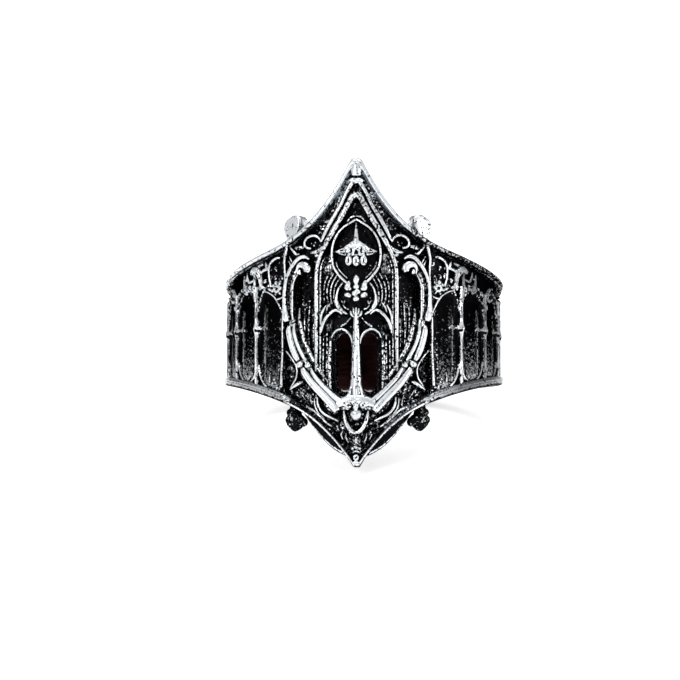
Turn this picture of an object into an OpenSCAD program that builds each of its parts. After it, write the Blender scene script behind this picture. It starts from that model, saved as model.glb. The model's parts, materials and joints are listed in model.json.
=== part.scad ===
/* [Finger hole] */
// Inside diameter of the ring
bore_d = 19; // [18:0.1:20]

/* [Band] */
// Wall left behind the niches
wall_t = 0.65; // [0.5:0.05:0.8]
// How far the rims stand out from the finger hole
rim_t = 2; // [1.9:0.05:2.1]
// Height of each rim along the finger
rim_h = 0.75; // [0.6:0.05:0.9]
// Top edge of the band at the back, above the collars
band_top_back = 3.6; // [3.3:0.1:4]
// Bottom edge of the band at the back, below the collars
band_foot_back = 3.8; // [3.6:0.1:4.2]
// Bays of the arcade from one side of the panel round to the other
bays = 18; // [17:1:19]

/* [Front panel] */
// Angle from the middle of the panel to its side
panel_angle = 31; // [30:0.1:32]
// Upper point, above the collars
gable_tip = 13.45; // [12.8:0.05:13.6]
// Lower point, below the collars
foot_tip = 11.5; // [11:0.05:11.8]
// Depth of the panel's floor from the finger hole
floor_t = 0.9; // [0.8:0.05:1]
// How far the shield frame stands out from the finger hole
frame_t = 2.4; // [2.3:0.05:2.5]
// Width of each lancet slot
slot_w = 1.4; // [1.2:0.02:1.5]

/* [Hidden] */

bore_r = bore_d / 2;
root_r = bore_r - 0.5;      // everything is made down to here, and the finger hole is cut last
wall_r = bore_r + wall_t;   // back of the niches
plate_r = bore_r + 1.5;     // face of the arcade
rim_r = bore_r + rim_t;
edge_r = rim_r - 0.25;      // the rims are rounded over down to here
floor_r = bore_r + floor_t;
frame_r = bore_r + frame_t;
half_u = rim_r * PI;        // arcs along the ring are measured on the rim: this one goes from front to back
panel_u = panel_angle / 180 * half_u;
arcade_angle = panel_angle;   // the shaft at the panel's side is the first column
pitch = (180 - arcade_angle) * 2 / bays;

// The edges of the band rise towards the front, and the panel's two points rise over them
top_rise = 5.6;
foot_rise = 5.7;
tip_round = 0.9;            // what rounding takes off the upper point
tip_span = 0.63;            // how far to each side of the point it goes
gable_rise = gable_tip + tip_round - band_top_back - top_rise;
gable_u = 8.5;              // the gable leaves the band's edge here
point_rise = foot_tip - band_foot_back - foot_rise;
lip_h = 1.25;               // lining of the lower edge, seen below the rim
lip_u = 5.6;
function lapse(u, span) = max(0, 1 - abs(u) / span);
function top_z(u) = band_top_back + top_rise * pow(lapse(u, half_u), 2.8)
    + gable_rise * pow(lapse(u, gable_u), 2.8) - tip_round * pow(lapse(u, tip_span), 2);
function foot_z(u) = -band_foot_back - foot_rise * pow(lapse(u, half_u), 5)
    - point_rise * pow(lapse(u, panel_u), 2.4);
function lip(u) = abs(u) > lip_u ? 0 : lip_h * sin(180 * abs(u) / lip_u);
function niche_top(u) = 0.42 * top_z(u);
function angle_u(a) = a / 180 * half_u;

// Leans back until the lower point and the back of the band touch the surface that it lies on
rest_tilt = atan((foot_tip - band_foot_back) / (2 * edge_r));

// A point of the ring: arc u from the panel's middle, height z along the finger, radius r
function on_ring(u, z, r) = let (a = u / half_u * 180) [r * sin(a), -r * cos(a), z];

// Skin over sections that have the same number of points
module loft(sections, closed = false) {
    rows = len(sections);
    cols = len(sections[0]);
    sides = [for (i = [0:closed ? rows - 1 : rows - 2], j = [0:cols - 1])
        let (next = (i + 1) % rows * cols, k = (j + 1) % cols)
        each [[i * cols + j, next + j, next + k], [i * cols + j, next + k, i * cols + k]]];
    ends = closed ? [] : [[for (j = [0:cols - 1]) j], [for (j = [cols - 1:-1:0]) (rows - 1) * cols + j]];
    polyhedron([for (s = sections) each s], concat(sides, ends));
}

// Raised moulding along a path whose rows are [u, z, half width, outer radius]. Its profile's rows are
// [share of the half width, share of the height]
plain = [[-1, 0], [-0.55, 1], [0.55, 1], [1, 0]];
double = [[-1, 0], [-0.8, 1], [-0.3, 1], [0, 0.75], [0.3, 1], [0.8, 1], [1, 0]];
function unit(v) = v / norm(v);
function heading(path, i, closed) = let (n = len(path),
        before = path[closed ? (i + n - 1) % n : max(i - 1, 0)],
        after = path[closed ? (i + 1) % n : min(i + 1, n - 1)])
    unit([after[0] - before[0], after[1] - before[1]]);
module moulding(path, profile = plain, foot_r = wall_r, closed = false)
    loft([for (i = [0:len(path) - 1])
        let (p = path[i], t = heading(path, i, closed), side = [t[1], -t[0]] * p[2])
        [for (s = profile) on_ring(p[0] + side[0] * s[0], p[1] + side[1] * s[0], foot_r + (p[3] - foot_r) * s[1])]],
        closed);

// The same moulding on both sides of the panel's middle
module both(path, profile = plain, foot_r = wall_r, closed = false)
    for (way = [-1, 1]) moulding([for (p = path) [way * p[0], p[1], p[2], p[3]]], profile, foot_r, closed);
module mirrored() {
    children();
    mirror([1, 0, 0]) children();
}

// Round bead seated on the relief
module bead(u, z, r, size) translate(on_ring(u, z, r)) sphere(d = size, $fn = 7);

// Steps over one bay of the arcade: arc from the nearer column's middle, radius of the relief, radius at the collar,
// how far the niche's foot rises, share of its height by which its head drops, how far the leaf above stands out
niche_mid = angle_u(pitch) / 2;
column_r = rim_r - 0.1;
knob_r = rim_r + 0.12;
ledge_r = rim_r - 0.35;
shoulder_r = plate_r - 0.35;
half_bay = [[0.16, column_r, knob_r, 0, 0, 0.35], [0.36, shoulder_r, ledge_r, 0.35, 0.5, 0.3],
    [0.8, wall_r + 0.1, ledge_r, 0.1, 0.2, 0]];
bay_steps = concat(half_bay, [[niche_mid, wall_r, ledge_r, 0, 0, 0.2]],
    [for (i = [2, 1, 0]) let (s = half_bay[i]) [2 * niche_mid - s[0], s[1], s[2], s[3], s[4], s[5]]]);

// Section of the wall, from the top down: rim, leaf, upper niche, collar and ledge, lower niche, rim, lining
rounding = 0.2;
function wall_section(u, face, relief, collar, rise, drop, leaf) =
    let (side = u > half_u ? 2 * half_u - u : u, top = top_z(side), foot = foot_z(side), sill = foot + rim_h + 0.1,
        head = niche_top(side), spring = head - drop * (head - 0.3), leaf_z = head + 0.45 * (top - rim_h - head))
    [for (p = [[top, root_r], [top, edge_r], [top - rounding, rim_r], [top - rim_h + rounding, rim_r],
            [top - rim_h, face], [leaf_z, face + leaf],
            [spring + 0.2, max(relief, face)], [spring, relief], [0.35 + rise, relief],
            [0.05, collar], [-0.35, collar],
            [-0.65 - rise, relief], [sill + 0.35 + rise, relief], [sill + rise, max(relief, face - 0.1)],
            [foot + rim_h, face], [foot + rim_h - rounding, rim_r], [foot + rounding, rim_r], [foot, edge_r],
            [foot, wall_r + 0.1], [foot - lip(side), wall_r], [foot - lip(side), root_r]])
        on_ring(u, p[0], p[1])];

// Band and panel in one closed wall
panel_steps = 9;
panel_arcs = [for (i = [-panel_steps:panel_steps]) sign(i) * pow(abs(i) / panel_steps, 1.5) * panel_u];
joint_u = panel_u + 0.05;   // the panel's floor steps up to the face of the band here
module wall() loft(concat(
    [for (u = panel_arcs) wall_section(u, floor_r, floor_r, floor_r, 0, 0, 0)],
    [wall_section(joint_u, plate_r, plate_r, plate_r, 0, 0, 0)],
    [for (i = [0:bays - 1], s = bay_steps)
        wall_section(angle_u(arcade_angle + pitch * i) + s[0], plate_r, s[1], s[2], s[3], s[4], s[5])],
    [wall_section(2 * half_u - joint_u, plate_r, plate_r, plate_r, 0, 0, 0)]), closed = true);

// Small pointed opening drawn above the first niche
loop_path = [[6.7, 3.3, 0.12, rim_r], [6.55, 4.4, 0.12, rim_r], [6.7, 5.4, 0.12, rim_r], [7.1, 5.65, 0.12, rim_r],
    [7.65, 5.3, 0.12, rim_r], [7.8, 4.5, 0.12, rim_r], [7.6, 3.5, 0.12, rim_r], [7.15, 3.1, 0.14, rim_r]];

// Fillet inside the rim, along both edges of the panel
fillet_arcs = [0, 0.6, 1.3, 2.3, 3.5, 4.8, 6];
fillet_drop = rim_h + 0.35;
fillet_top = [for (u = fillet_arcs) [u, top_z(u) - fillet_drop - 0.5 * lapse(u, 2), 0.1, rim_r - 0.2]];
fillet_foot = [for (u = fillet_arcs) [u, foot_z(u) + fillet_drop, 0.1, rim_r - 0.3]];

// Nested arches of the gable, and the jambs that run down from the inner one
gable_path = [[0, 11.8, 0.3, rim_r], [0.7, 10.85, 0.22, rim_r], [1.5, 9.35, 0.2, rim_r], [2.3, 7.95, 0.2, rim_r],
    [2.85, 6.8, 0.2, rim_r - 0.1]];
inner_path = [[0, 10.55, 0.34, rim_r + 0.15], [0.7, 9.55, 0.34, rim_r + 0.15], [1.6, 8.05, 0.3, rim_r + 0.15],
    [2.5, 6.5, 0.26, rim_r + 0.1], [3.1, 5.4, 0.2, rim_r], [3.3, 4.4, 0.14, rim_r - 0.1],
    [3.3, -3.4, 0.14, rim_r - 0.1]];

// Shield frame, from the volute round to the corbel, with a collar at the end of each straight run
frame_path = [[4.1, 5.3, 0.2, frame_r - 0.2], [4.7, 5, 0.32, frame_r - 0.1], [5.2, 4.2, 0.38, frame_r],
    [5.5, 3.2, 0.4, frame_r], [5.6, 2, 0.4, frame_r], [5.65, 0.95, 0.4, frame_r], [5.65, 0.6, 0.52, frame_r + 0.15],
    [5.6, 0.25, 0.4, frame_r], [5.3, -0.9, 0.4, frame_r], [4.8, -2.1, 0.4, frame_r], [4.3, -2.8, 0.4, frame_r],
    [4.1, -3.1, 0.52, frame_r + 0.15], [3.85, -3.4, 0.4, frame_r], [3.1, -4.4, 0.4, frame_r],
    [2.1, -5.4, 0.4, frame_r], [1.2, -6.1, 0.4, frame_r], [0.4, -6.5, 0.4, frame_r]];
volute_path = [[4.85, 4.4, 0.16, frame_r - 0.2], [4.7, 4.9, 0.2, frame_r - 0.1], [4.3, 5.05, 0.24, frame_r],
    [3.95, 4.8, 0.26, frame_r + 0.05], [3.95, 4.4, 0.26, frame_r + 0.05], [4.3, 4.25, 0.24, frame_r + 0.05]];
scroll_path = [[3.05, 6.75, 0.12, rim_r - 0.1], [3.2, 7.15, 0.13, rim_r - 0.1], [3.65, 7.35, 0.13, rim_r - 0.1],
    [4.15, 7.15, 0.13, rim_r - 0.1], [4.35, 6.7, 0.13, rim_r - 0.1], [4.1, 6.35, 0.13, rim_r - 0.1],
    [3.7, 6.35, 0.12, rim_r - 0.1]];

// Slim shafts at the panel's sides, fluting beside the jambs, and pointed openings drawn beside the frame's foot
shaft_path = [for (z = [6.3, 0.1, -0.15, -0.4, -5.4]) [panel_u - 0.1, z, z == -0.15 ? 0.3 : 0.16, rim_r]];
flutes = [[2.55, 3.2, -4.6], [2.9, 4.2, -4.2], [3.85, 3.4, -2.5], [4.45, 3, -1.6]];
side_dagger = [[6.1, -1.3, 0.12, rim_r - 0.3], [5.75, -2, 0.13, rim_r - 0.3], [5.3, -3, 0.13, rim_r - 0.3],
    [5.35, -3.9, 0.13, rim_r - 0.3], [6, -4.7, 0.12, rim_r - 0.3]];
foot_dagger = [[4.3, -4.2, 0.12, rim_r - 0.3], [3.9, -5, 0.13, rim_r - 0.3], [3, -6.2, 0.15, rim_r - 0.3],
    [2, -7, 0.14, rim_r - 0.3], [1, -7.4, 0.12, rim_r - 0.3]];
foot_leaf = [[4.9, -4.5, 0.1, rim_r - 0.4], [4.6, -5, 0.35, rim_r - 0.1], [4, -5.8, 0.4, rim_r - 0.1],
    [3.4, -6.5, 0.15, rim_r - 0.4]];
head_leaf = [[4.5, 6.6, 0.1, rim_r - 0.4], [4.9, 6.1, 0.35, rim_r - 0.1], [5.5, 5.5, 0.3, rim_r - 0.1],
    [5.9, 4.6, 0.12, rim_r - 0.4]];

// Roundel over the bead rosette, with its ogee top, and the oculus round the rosette
roundel_z = 6.1;
roundel_steps = 20;
module roundel()
    moulding([for (i = [0:roundel_steps - 1])
        let (c = cos(360 * i / roundel_steps), s = sin(360 * i / roundel_steps), pinch = c > 0 ? 0.15 : 0.3)
        [2 * s * (1 - pinch * abs(c)), roundel_z + c * (c > 0 ? 2.3 : 2.45), 0.16, frame_r - 0.35]],
        foot_r = floor_r - 0.2, closed = true);
oculus_z = 2.3;
oculus_steps = 14;
module oculus()
    moulding([for (i = [0:oculus_steps - 1])
        let (c = cos(360 * i / oculus_steps), s = sin(360 * i / oculus_steps))
        [1.55 * s, oculus_z + 1.5 * c, 0.15, rim_r - 0.15]], foot_r = floor_r - 0.2, closed = true);

// Fleuron that hangs in the roundel
module fleuron() {
    moulding([[0, 8.3, 0.1, rim_r], [0, 7.5, 0.22, rim_r + 0.2], [0, 6.7, 0.5, rim_r + 0.4],
        [0, 6.1, 0.9, rim_r + 0.4], [0, 5.6, 0.75, rim_r + 0.2]]);
    both([[0.5, 6.1, 0.3, rim_r + 0.1], [1.2, 6, 0.2, rim_r], [1.95, 5.95, 0.1, rim_r - 0.1]]);
    for (u = [-0.62, 0, 0.62])
        moulding([[u * 0.9, 5.75, 0.2, rim_r], [u, 5.25, 0.29, rim_r + 0.3], [u, 4.8, 0.16, rim_r]]);
}

// Beads on a boss, from the roundel down to the mullion
bead_d = 0.62;
module rosette() {
    moulding([[0, 4.1, 0.3, rim_r - 0.2], [0, 3.3, 0.85, rim_r], [0, 2.4, 0.85, rim_r], [0, 1.3, 0.3, rim_r - 0.2]]);
    for (u = [-0.62, 0, 0.62], z = [2.5, 3.15]) bead(u, z + (u == 0 ? 0.2 : 0), rim_r + 0.1, bead_d);
    for (z = [1.95, 3.95]) bead(0, z, rim_r + 0.05, bead_d);
}

// Mullion between the slots, and the heads over them
slot_u = 1.15;
slot_top = -0.4;
slot_foot = -5.75;
module mullion()
    moulding([[0, 1.3, 0.2, rim_r - 0.1], [0, 0.95, 0.42, rim_r + 0.15], [0, 0.7, 0.27, rim_r + 0.1],
        [0, -2, 0.34, rim_r + 0.2], [0, -5.3, 0.45, rim_r + 0.3], [0, -6.2, 0.6, rim_r + 0.4]]);
hood_path = [[0.25, 0.6, 0.12, rim_r], [0.8, 1.2, 0.18, rim_r + 0.1], [1.5, 1.4, 0.24, rim_r + 0.15],
    [2.2, 0.95, 0.24, rim_r + 0.1], [2.7, -0.1, 0.16, rim_r], [2.75, -0.6, 0.1, rim_r - 0.2]];
surround_path = [[0.4, -0.9, 0.1, floor_r + 0.4], [0.6, -0.25, 0.12, floor_r + 0.5],
    [1.15, 0, 0.13, floor_r + 0.5], [1.75, -0.3, 0.12, floor_r + 0.5], [2.05, -1.1, 0.12, floor_r + 0.5],
    [2.1, -5.1, 0.12, floor_r + 0.5]];
module slot()
    rotate([0, 0, slot_u / half_u * 180]) rotate([90, 0, 0]) linear_extrude(frame_r + 1) {
        for (z = [slot_top - slot_w / 2, slot_foot + slot_w / 2]) translate([0, z]) circle(d = slot_w, $fn = 16);
        translate([-slot_w / 2, slot_foot + slot_w / 2]) square([slot_w, slot_top - slot_foot - slot_w]);
    }

// Drop corbel where the frame and the mullion meet, and the scales that run to the lower point
scale_rows = [[-8.85, 0.3], [-9.5, 0.42], [-10, 0.34], [-10.45, 0.26]];
module corbel() {
    moulding([[0, -5.9, 0.5, frame_r], [0, -6.4, 0.95, frame_r + 0.15], [0, -7.2, 0.9, frame_r + 0.4],
        [0, -7.9, 0.55, frame_r + 0.3], [0, -8.5, 0.15, rim_r]]);
    for (s = scale_rows)
        moulding([[0, s[0] + 0.35, s[1] * 1.2, rim_r - 0.3], [0, s[0], s[1], rim_r + 0.1],
            [0, s[0] - 0.3, 0.08, rim_r - 0.2]]);
}

// Ridge under the upper point
module finial()
    moulding([[0, gable_tip - 0.15, 0.2, rim_r], [0, gable_tip - 0.7, 0.42, rim_r + 0.15],
        [0, gable_tip - 1.4, 0.6, rim_r + 0.1], [0, gable_tip - 1.9, 0.45, rim_r + 0.1]]);

// Crockets stand on the panel's sloping edges, behind the rim
crocket_u = 5.65;
crocket_r = bore_r + 0.9;
module crocket(edge, reach, neck)
    loft([for (s = [[-0.5, neck, 0.5], [0.3, neck, 0.5], [0.5, 0.78, 0.7], [0.85, 0.78, 0.7], [1, 0.5, 0.45]])
        [for (c = [[-1, -1], [-1, 1], [1, 1], [1, -1]])
            on_ring(crocket_u + sign(reach) * c[0] * s[1], edge + reach * s[0], crocket_r + c[1] * s[2])]]);

module casting() {
    wall();
    both(loop_path, closed = true);
    both(fillet_top);
    both(fillet_foot);
    both(gable_path);
    both(inner_path);
    both(frame_path, double);
    both(volute_path);
    both(scroll_path);
    both(shaft_path);
    for (f = flutes) both([[f[0], f[1], 0.1, floor_r + 0.35], [f[0], f[2], 0.1, floor_r + 0.35]]);
    both(side_dagger);
    both(foot_dagger);
    both(foot_leaf);
    both(head_leaf);
    both(hood_path);
    both(surround_path);
    roundel();
    oculus();
    fleuron();
    rosette();
    mullion();
    corbel();
    finial();
    mirrored() {
        crocket(top_z(crocket_u), 1.8, 0.7);
        crocket(foot_z(crocket_u), -2.2, 0.5);
    }
}

// The relief is joined to one body, whose size the zeros keep, and then the slots and the finger hole go through it
module ring() color("#8f9296")
    rotate([-rest_tilt, 0, 0]) difference() {
        resize([0, 0, 0]) difference() {
            casting();
            mirrored() slot();
        }
        cylinder(r = bore_r, h = 4 * gable_tip, center = true, $fn = 128);
    }

ring();
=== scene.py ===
"""Gothic ring of oxidised cast silver: a pointed panel of pierced tracery on a band of small arcades.

Every piece is first laid out flat, in metres: x is the arc round the ring from the panel's middle, y is
the height along the finger and z the distance from the ring's axis. One node tree then folds it.
"""

import json
import math
from types import SimpleNamespace

import bmesh
import bpy
import numpy as np
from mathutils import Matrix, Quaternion, Vector, noise


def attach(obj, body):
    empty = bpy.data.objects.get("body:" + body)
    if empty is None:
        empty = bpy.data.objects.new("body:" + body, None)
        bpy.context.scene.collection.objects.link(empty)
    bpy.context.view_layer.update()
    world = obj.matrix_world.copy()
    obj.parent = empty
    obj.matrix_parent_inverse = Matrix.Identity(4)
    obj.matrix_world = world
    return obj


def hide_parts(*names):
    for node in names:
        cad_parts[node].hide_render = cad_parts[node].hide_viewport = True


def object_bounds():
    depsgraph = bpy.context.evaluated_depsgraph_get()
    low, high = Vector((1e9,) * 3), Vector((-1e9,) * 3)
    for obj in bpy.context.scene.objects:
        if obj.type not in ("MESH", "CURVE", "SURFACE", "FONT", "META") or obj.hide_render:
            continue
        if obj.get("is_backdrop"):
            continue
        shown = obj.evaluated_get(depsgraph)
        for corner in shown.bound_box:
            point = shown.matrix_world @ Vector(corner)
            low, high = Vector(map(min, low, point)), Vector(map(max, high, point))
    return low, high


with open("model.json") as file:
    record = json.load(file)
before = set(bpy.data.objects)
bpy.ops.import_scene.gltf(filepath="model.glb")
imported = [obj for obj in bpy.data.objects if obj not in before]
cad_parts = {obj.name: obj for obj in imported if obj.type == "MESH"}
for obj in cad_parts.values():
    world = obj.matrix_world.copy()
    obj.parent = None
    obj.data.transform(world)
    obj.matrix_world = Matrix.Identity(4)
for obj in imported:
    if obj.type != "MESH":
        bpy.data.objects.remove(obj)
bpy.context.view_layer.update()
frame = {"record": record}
FINGER = next(m for m in frame["record"]["mounts"] if m["name"] == "finger")

bl_info = {
    "name": "Gothic Ring",
    "version": (1, 0, 0),
    "blender": (4, 5, 0),
    "location": "3D View > Sidebar > Ring",
    "description": "Dresses the ring's solid in its cast tracery, its arcade and its darkened silver",
    "category": "Object",
}

MM = 0.001


def linear(code):
    """An sRGB hex colour as linear red, green and blue."""
    parts = [int(code[i : i + 2], 16) / 255 for i in (1, 3, 5)]
    return [c / 12.92 if c <= 0.04045 else ((c + 0.055) / 1.055) ** 2.4 for c in parts]


def length(name, description, default):
    return bpy.props.FloatProperty(
        name=name, description=description, default=default * MM, unit="LENGTH", precision=5
    )


def angle(name, description, degrees):
    return bpy.props.FloatProperty(
        name=name, description=description, default=math.radians(degrees), subtype="ANGLE"
    )


def colour(name, description, code):
    return bpy.props.FloatVectorProperty(
        name=name, description=description, default=linear(code), size=3, subtype="COLOR", min=0, max=1
    )


class RingSizes(bpy.types.PropertyGroup):
    """The sizes that the solid has too"""

    bore_radius: length("Bore Radius", "Inside radius of the finger hole", 9.5)
    rim_radius: length("Rim Radius", "Radius over both rims", 11.5)
    wall_radius: length("Wall Radius", "Radius at the back of the niches", 10.15)
    floor_radius: length("Floor Radius", "Radius of the panel's floor", 10.4)
    plate_radius: length("Plate Radius", "Radius at the face of the arcade", 11)
    band_top: length("Band Top", "Top edge of the band at the back", 3.6)
    band_foot: length("Band Foot", "Bottom edge of the band at the back", 3.8)
    top_rise: length("Top Rise", "Rise of the top edge from the back to the panel", 5.6)
    foot_rise: length("Foot Rise", "Fall of the bottom edge from the back to the panel", 5.7)
    gable_rise: length("Gable Rise", "Rise of the gable over the panel", 5.15)
    point_rise: length("Point Rise", "Fall of the lower point below the panel", 2)
    gable_arc: length("Gable Arc", "Arc from the panel's middle to the gable's foot", 8.5)
    tip_round: length("Tip Rounding", "What rounding takes off the upper point", 0.9)
    tip_arc: length("Tip Arc", "How far to each side of the upper point the rounding goes", 0.63)
    panel_arc: length("Panel Arc", "Arc from the panel's middle to its side", 6.222)
    first_bay: angle("First Bay", "Angle from the panel's middle to the arcade's first column", 31)
    bays: bpy.props.IntProperty(
        name="Bays", description="Bays of the arcade round the band", default=18, min=6
    )
    lean: bpy.props.FloatProperty(
        name="Lean",
        description="How far the ring leans back on the surface that it lies on",
        default=math.atan2(FINGER["axis"][1], FINGER["axis"][2]),
        subtype="ANGLE",
    )


class RingFinish(bpy.types.PropertyGroup):
    """Colours and wear of the silver"""

    silver: colour("Worn Silver", "Colour of the polished crests", "#d6dade")
    patina: colour("Patina", "Colour of the oxide in the recesses", "#101012")
    # the lining's colour is darkened silver with a painted warm red reflection in it
    lining: colour("Lining", "Colour of the darkened silver inside the finger hole", "#45292a")
    grain: length("Cast Grain", "Size of the grains that the mould leaves", 0.16)


class RingStudio(bpy.types.PropertyGroup):
    """Camera and floor"""

    distance: length("Distance", "Camera's distance from the middle of the finger hole", 300)
    azimuth: angle("Azimuth", "Camera's angle to the panel", 3.26)
    elevation: angle("Elevation", "Camera's angle over the floor", 14.43)
    roll: angle("Roll", "Camera's turn round its own axis", -1.03)
    floor: colour("Floor", "Colour of the floor", "#f6f6f6")
    table: bpy.props.FloatProperty(
        name="Light Table", description="How strongly the floor glows", default=0.5, min=0
    )
    room: bpy.props.FloatProperty(
        name="Room Light", description="Brightness of the room behind the camera", default=0.8, min=0
    )


# Nodes


def add(tree, kind, *values, **settings):
    """Adds a node with its settings, and links or sets its inputs in order. None leaves an input alone."""
    node = tree.nodes.new(kind)
    for key, value in settings.items():
        setattr(node, key, value)
    for socket, value in zip([s for s in node.inputs if s.enabled], values):
        if isinstance(value, bpy.types.Node):
            value = next(s for s in value.outputs if s.enabled)
        if isinstance(value, bpy.types.NodeSocket):
            tree.links.new(value, socket)
        elif value is not None:
            socket.default_value = value
    return node


def calc(tree, operation, *values, **settings):
    """Adds a math node."""
    return add(tree, "ShaderNodeMath", *values, operation=operation, **settings)


def ramp(tree, value, *limits):
    """Maps a value from one range to another."""
    return add(tree, "ShaderNodeMapRange", value, *limits)


def mix(tree, share, first, second, **settings):
    """Mixes two colours."""
    return add(tree, "ShaderNodeMix", share, first, second, data_type="RGBA", **settings).outputs[2]


def stored(tree, name):
    """Reads a number that's stored on each point."""
    if tree.bl_idname == "GeometryNodeTree":
        return add(tree, "GeometryNodeInputNamedAttribute", name, data_type="FLOAT")
    return add(tree, "ShaderNodeAttribute", attribute_name=name).outputs["Fac"]


def empty_tree(holder):
    """The node tree of a new material or world, emptied."""
    holder.use_nodes = True
    holder.node_tree.nodes.clear()
    return holder.node_tree


# the sizes that the folding works with
FORM = "rim_radius lean band_top top_rise gable_rise gable_arc tip_round tip_arc".split()
FORM += "band_foot foot_rise point_rise panel_arc".split()


def size_name(key):
    return RingSizes.bl_rna.properties[key].name


def new_tree(name, extra=()):
    """A geometry tree with inputs for the geometry, the ring's form, its material and what extra names."""
    tree = bpy.data.node_groups.new(name, "GeometryNodeTree")
    tree.interface.new_socket("Geometry", in_out="OUTPUT", socket_type="NodeSocketGeometry")
    sockets = [("Geometry", "Geometry"), *extra, ("Material", "Material")]
    for socket, kind in sockets + [(size_name(k), "Float") for k in FORM]:
        tree.interface.new_socket(socket, in_out="INPUT", socket_type="NodeSocket" + kind)
    return tree, tree.nodes.new("NodeGroupInput").outputs


def fold_tree():
    """Stretches flat work to the band's edges by its share of their height, and folds it round."""
    if "Fold Round Finger" in bpy.data.node_groups:
        return bpy.data.node_groups["Fold Round Finger"]
    tree, given = new_tree("Fold Round Finger")
    size = {k: given[size_name(k)] for k in FORM}
    place = add(tree, "ShaderNodeSeparateXYZ", add(tree, "GeometryNodeInputPosition")).outputs
    half_turn = calc(tree, "MULTIPLY", size["rim_radius"], math.pi)
    side = calc(tree, "PINGPONG", place[0], half_turn)
    lapses = []  # how near the point is to the panel's middle, over four spans
    for span in (half_turn, size["gable_arc"], size["panel_arc"], size["tip_arc"]):
        share = calc(tree, "DIVIDE", side, span)
        lapses.append(calc(tree, "SUBTRACT", 1.0, share, use_clamp=True))
    top, foot = size["band_top"], size["band_foot"]
    for lapse, power, rise in ((0, 2.8, "top_rise"), (1, 2.8, "gable_rise")):
        curve = calc(tree, "POWER", lapses[lapse], float(power))
        top = calc(tree, "MULTIPLY_ADD", curve, size[rise], top)
    blunt = calc(tree, "POWER", lapses[3], 2.0)
    blunt = calc(tree, "MULTIPLY", blunt, size["tip_round"])
    top = calc(tree, "SUBTRACT", top, blunt)
    for lapse, power, rise in ((0, 5, "foot_rise"), (2, 2.4, "point_rise")):
        curve = calc(tree, "POWER", lapses[lapse], float(power))
        foot = calc(tree, "MULTIPLY_ADD", curve, size[rise], foot)
    share = stored(tree, "share")
    up = calc(tree, "MAXIMUM", share, 0.0)
    down = calc(tree, "MINIMUM", share, 0.0)
    height = calc(tree, "MULTIPLY_ADD", up, top, place[1])
    height = calc(tree, "MULTIPLY_ADD", down, foot, height)
    turn = calc(tree, "DIVIDE", place[0], size["rim_radius"])
    across = calc(tree, "MULTIPLY", calc(tree, "SINE", turn), place[2])
    back = calc(tree, "MULTIPLY", calc(tree, "COSINE", turn), place[2])
    front = calc(tree, "MULTIPLY", back, -1.0)
    upright = add(tree, "ShaderNodeCombineXYZ", across, front, height)
    recline = calc(tree, "MULTIPLY", size["lean"], -1.0)
    leaning = add(tree, "ShaderNodeVectorRotate", upright, None, recline, rotation_type="X_AXIS")
    folded = add(tree, "GeometryNodeSetPosition", given["Geometry"], None, leaning)
    real = add(tree, "GeometryNodeRealizeInstances", folded)
    add(tree, "NodeGroupOutput", add(tree, "GeometryNodeSetMaterial", real, None, given["Material"]))
    return tree


def fold(tree, given, geometry):
    """Adds the folding to a tree, and ends it."""
    group = add(tree, "GeometryNodeGroup", geometry, given["Material"], node_tree=fold_tree())
    for key in FORM:
        tree.links.new(given[size_name(key)], group.inputs[size_name(key)])
    real = add(tree, "GeometryNodeRealizeInstances", group)
    add(tree, "NodeGroupOutput", add(tree, "GeometryNodeSetMaterial", real, None, given["Material"]))


def arcade_tree():
    """Sets bays side by side from the panel to the back. Way is 1 on one side and -1 on the other."""
    extra = [("Bays", "Int"), ("First Bay", "Float"), ("Pitch", "Float"), ("Way", "Float")]
    tree, given = new_tree("Arcade", extra)
    middle = calc(tree, "MULTIPLY_ADD", given["Pitch"], 0.5, given["First Bay"])
    outward = calc(tree, "MULTIPLY", given["Way"], given["Rim Radius"])
    start = calc(tree, "MULTIPLY", middle, outward)
    step = calc(tree, "MULTIPLY", given["Pitch"], outward)
    start, step = (add(tree, "ShaderNodeCombineXYZ", x) for x in (start, step))
    line = add(tree, "GeometryNodeMeshLine", given["Bays"], start, step)
    bays = add(tree, "GeometryNodeInstanceOnPoints", line, None, given["Geometry"])
    bays = add(tree, "GeometryNodeRealizeInstances", bays)
    bays = add(tree, "GeometryNodeMergeByDistance", bays, None, 0.001 * MM)
    # the shaft at the panel's side is drawn by the tracery; painted shade greys the columns away from the
    # panel, more on the right
    place = add(tree, "ShaderNodeSeparateXYZ", add(tree, "GeometryNodeInputPosition")).outputs
    side = calc(tree, "ABSOLUTE", place[0])
    worn = stored(tree, "worn")
    clear = ramp(tree, side, 6.55 * MM, 7.2 * MM, 0.0, 1.0)
    worn = calc(tree, "MULTIPLY", worn, clear)
    bays = add(tree, "GeometryNodeStoreNamedAttribute", bays, None, "worn", worn)
    deepest_side_shade = calc(tree, "MULTIPLY_ADD", given["Way"], 0.1, 0.62)
    grey = ramp(tree, side, 10 * MM, 13 * MM, 0.0, deepest_side_shade)
    ease = ramp(tree, side, 18 * MM, 24 * MM, 1.0, 0.5)
    tarnish = calc(tree, "MULTIPLY", grey, ease)
    dust_and_painted_sheen = stored(tree, "tarnish")
    tarnish = calc(tree, "MAXIMUM", tarnish, dust_and_painted_sheen)
    fold(tree, given, add(tree, "GeometryNodeStoreNamedAttribute", bays, None, "tarnish", tarnish))
    return tree


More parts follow.
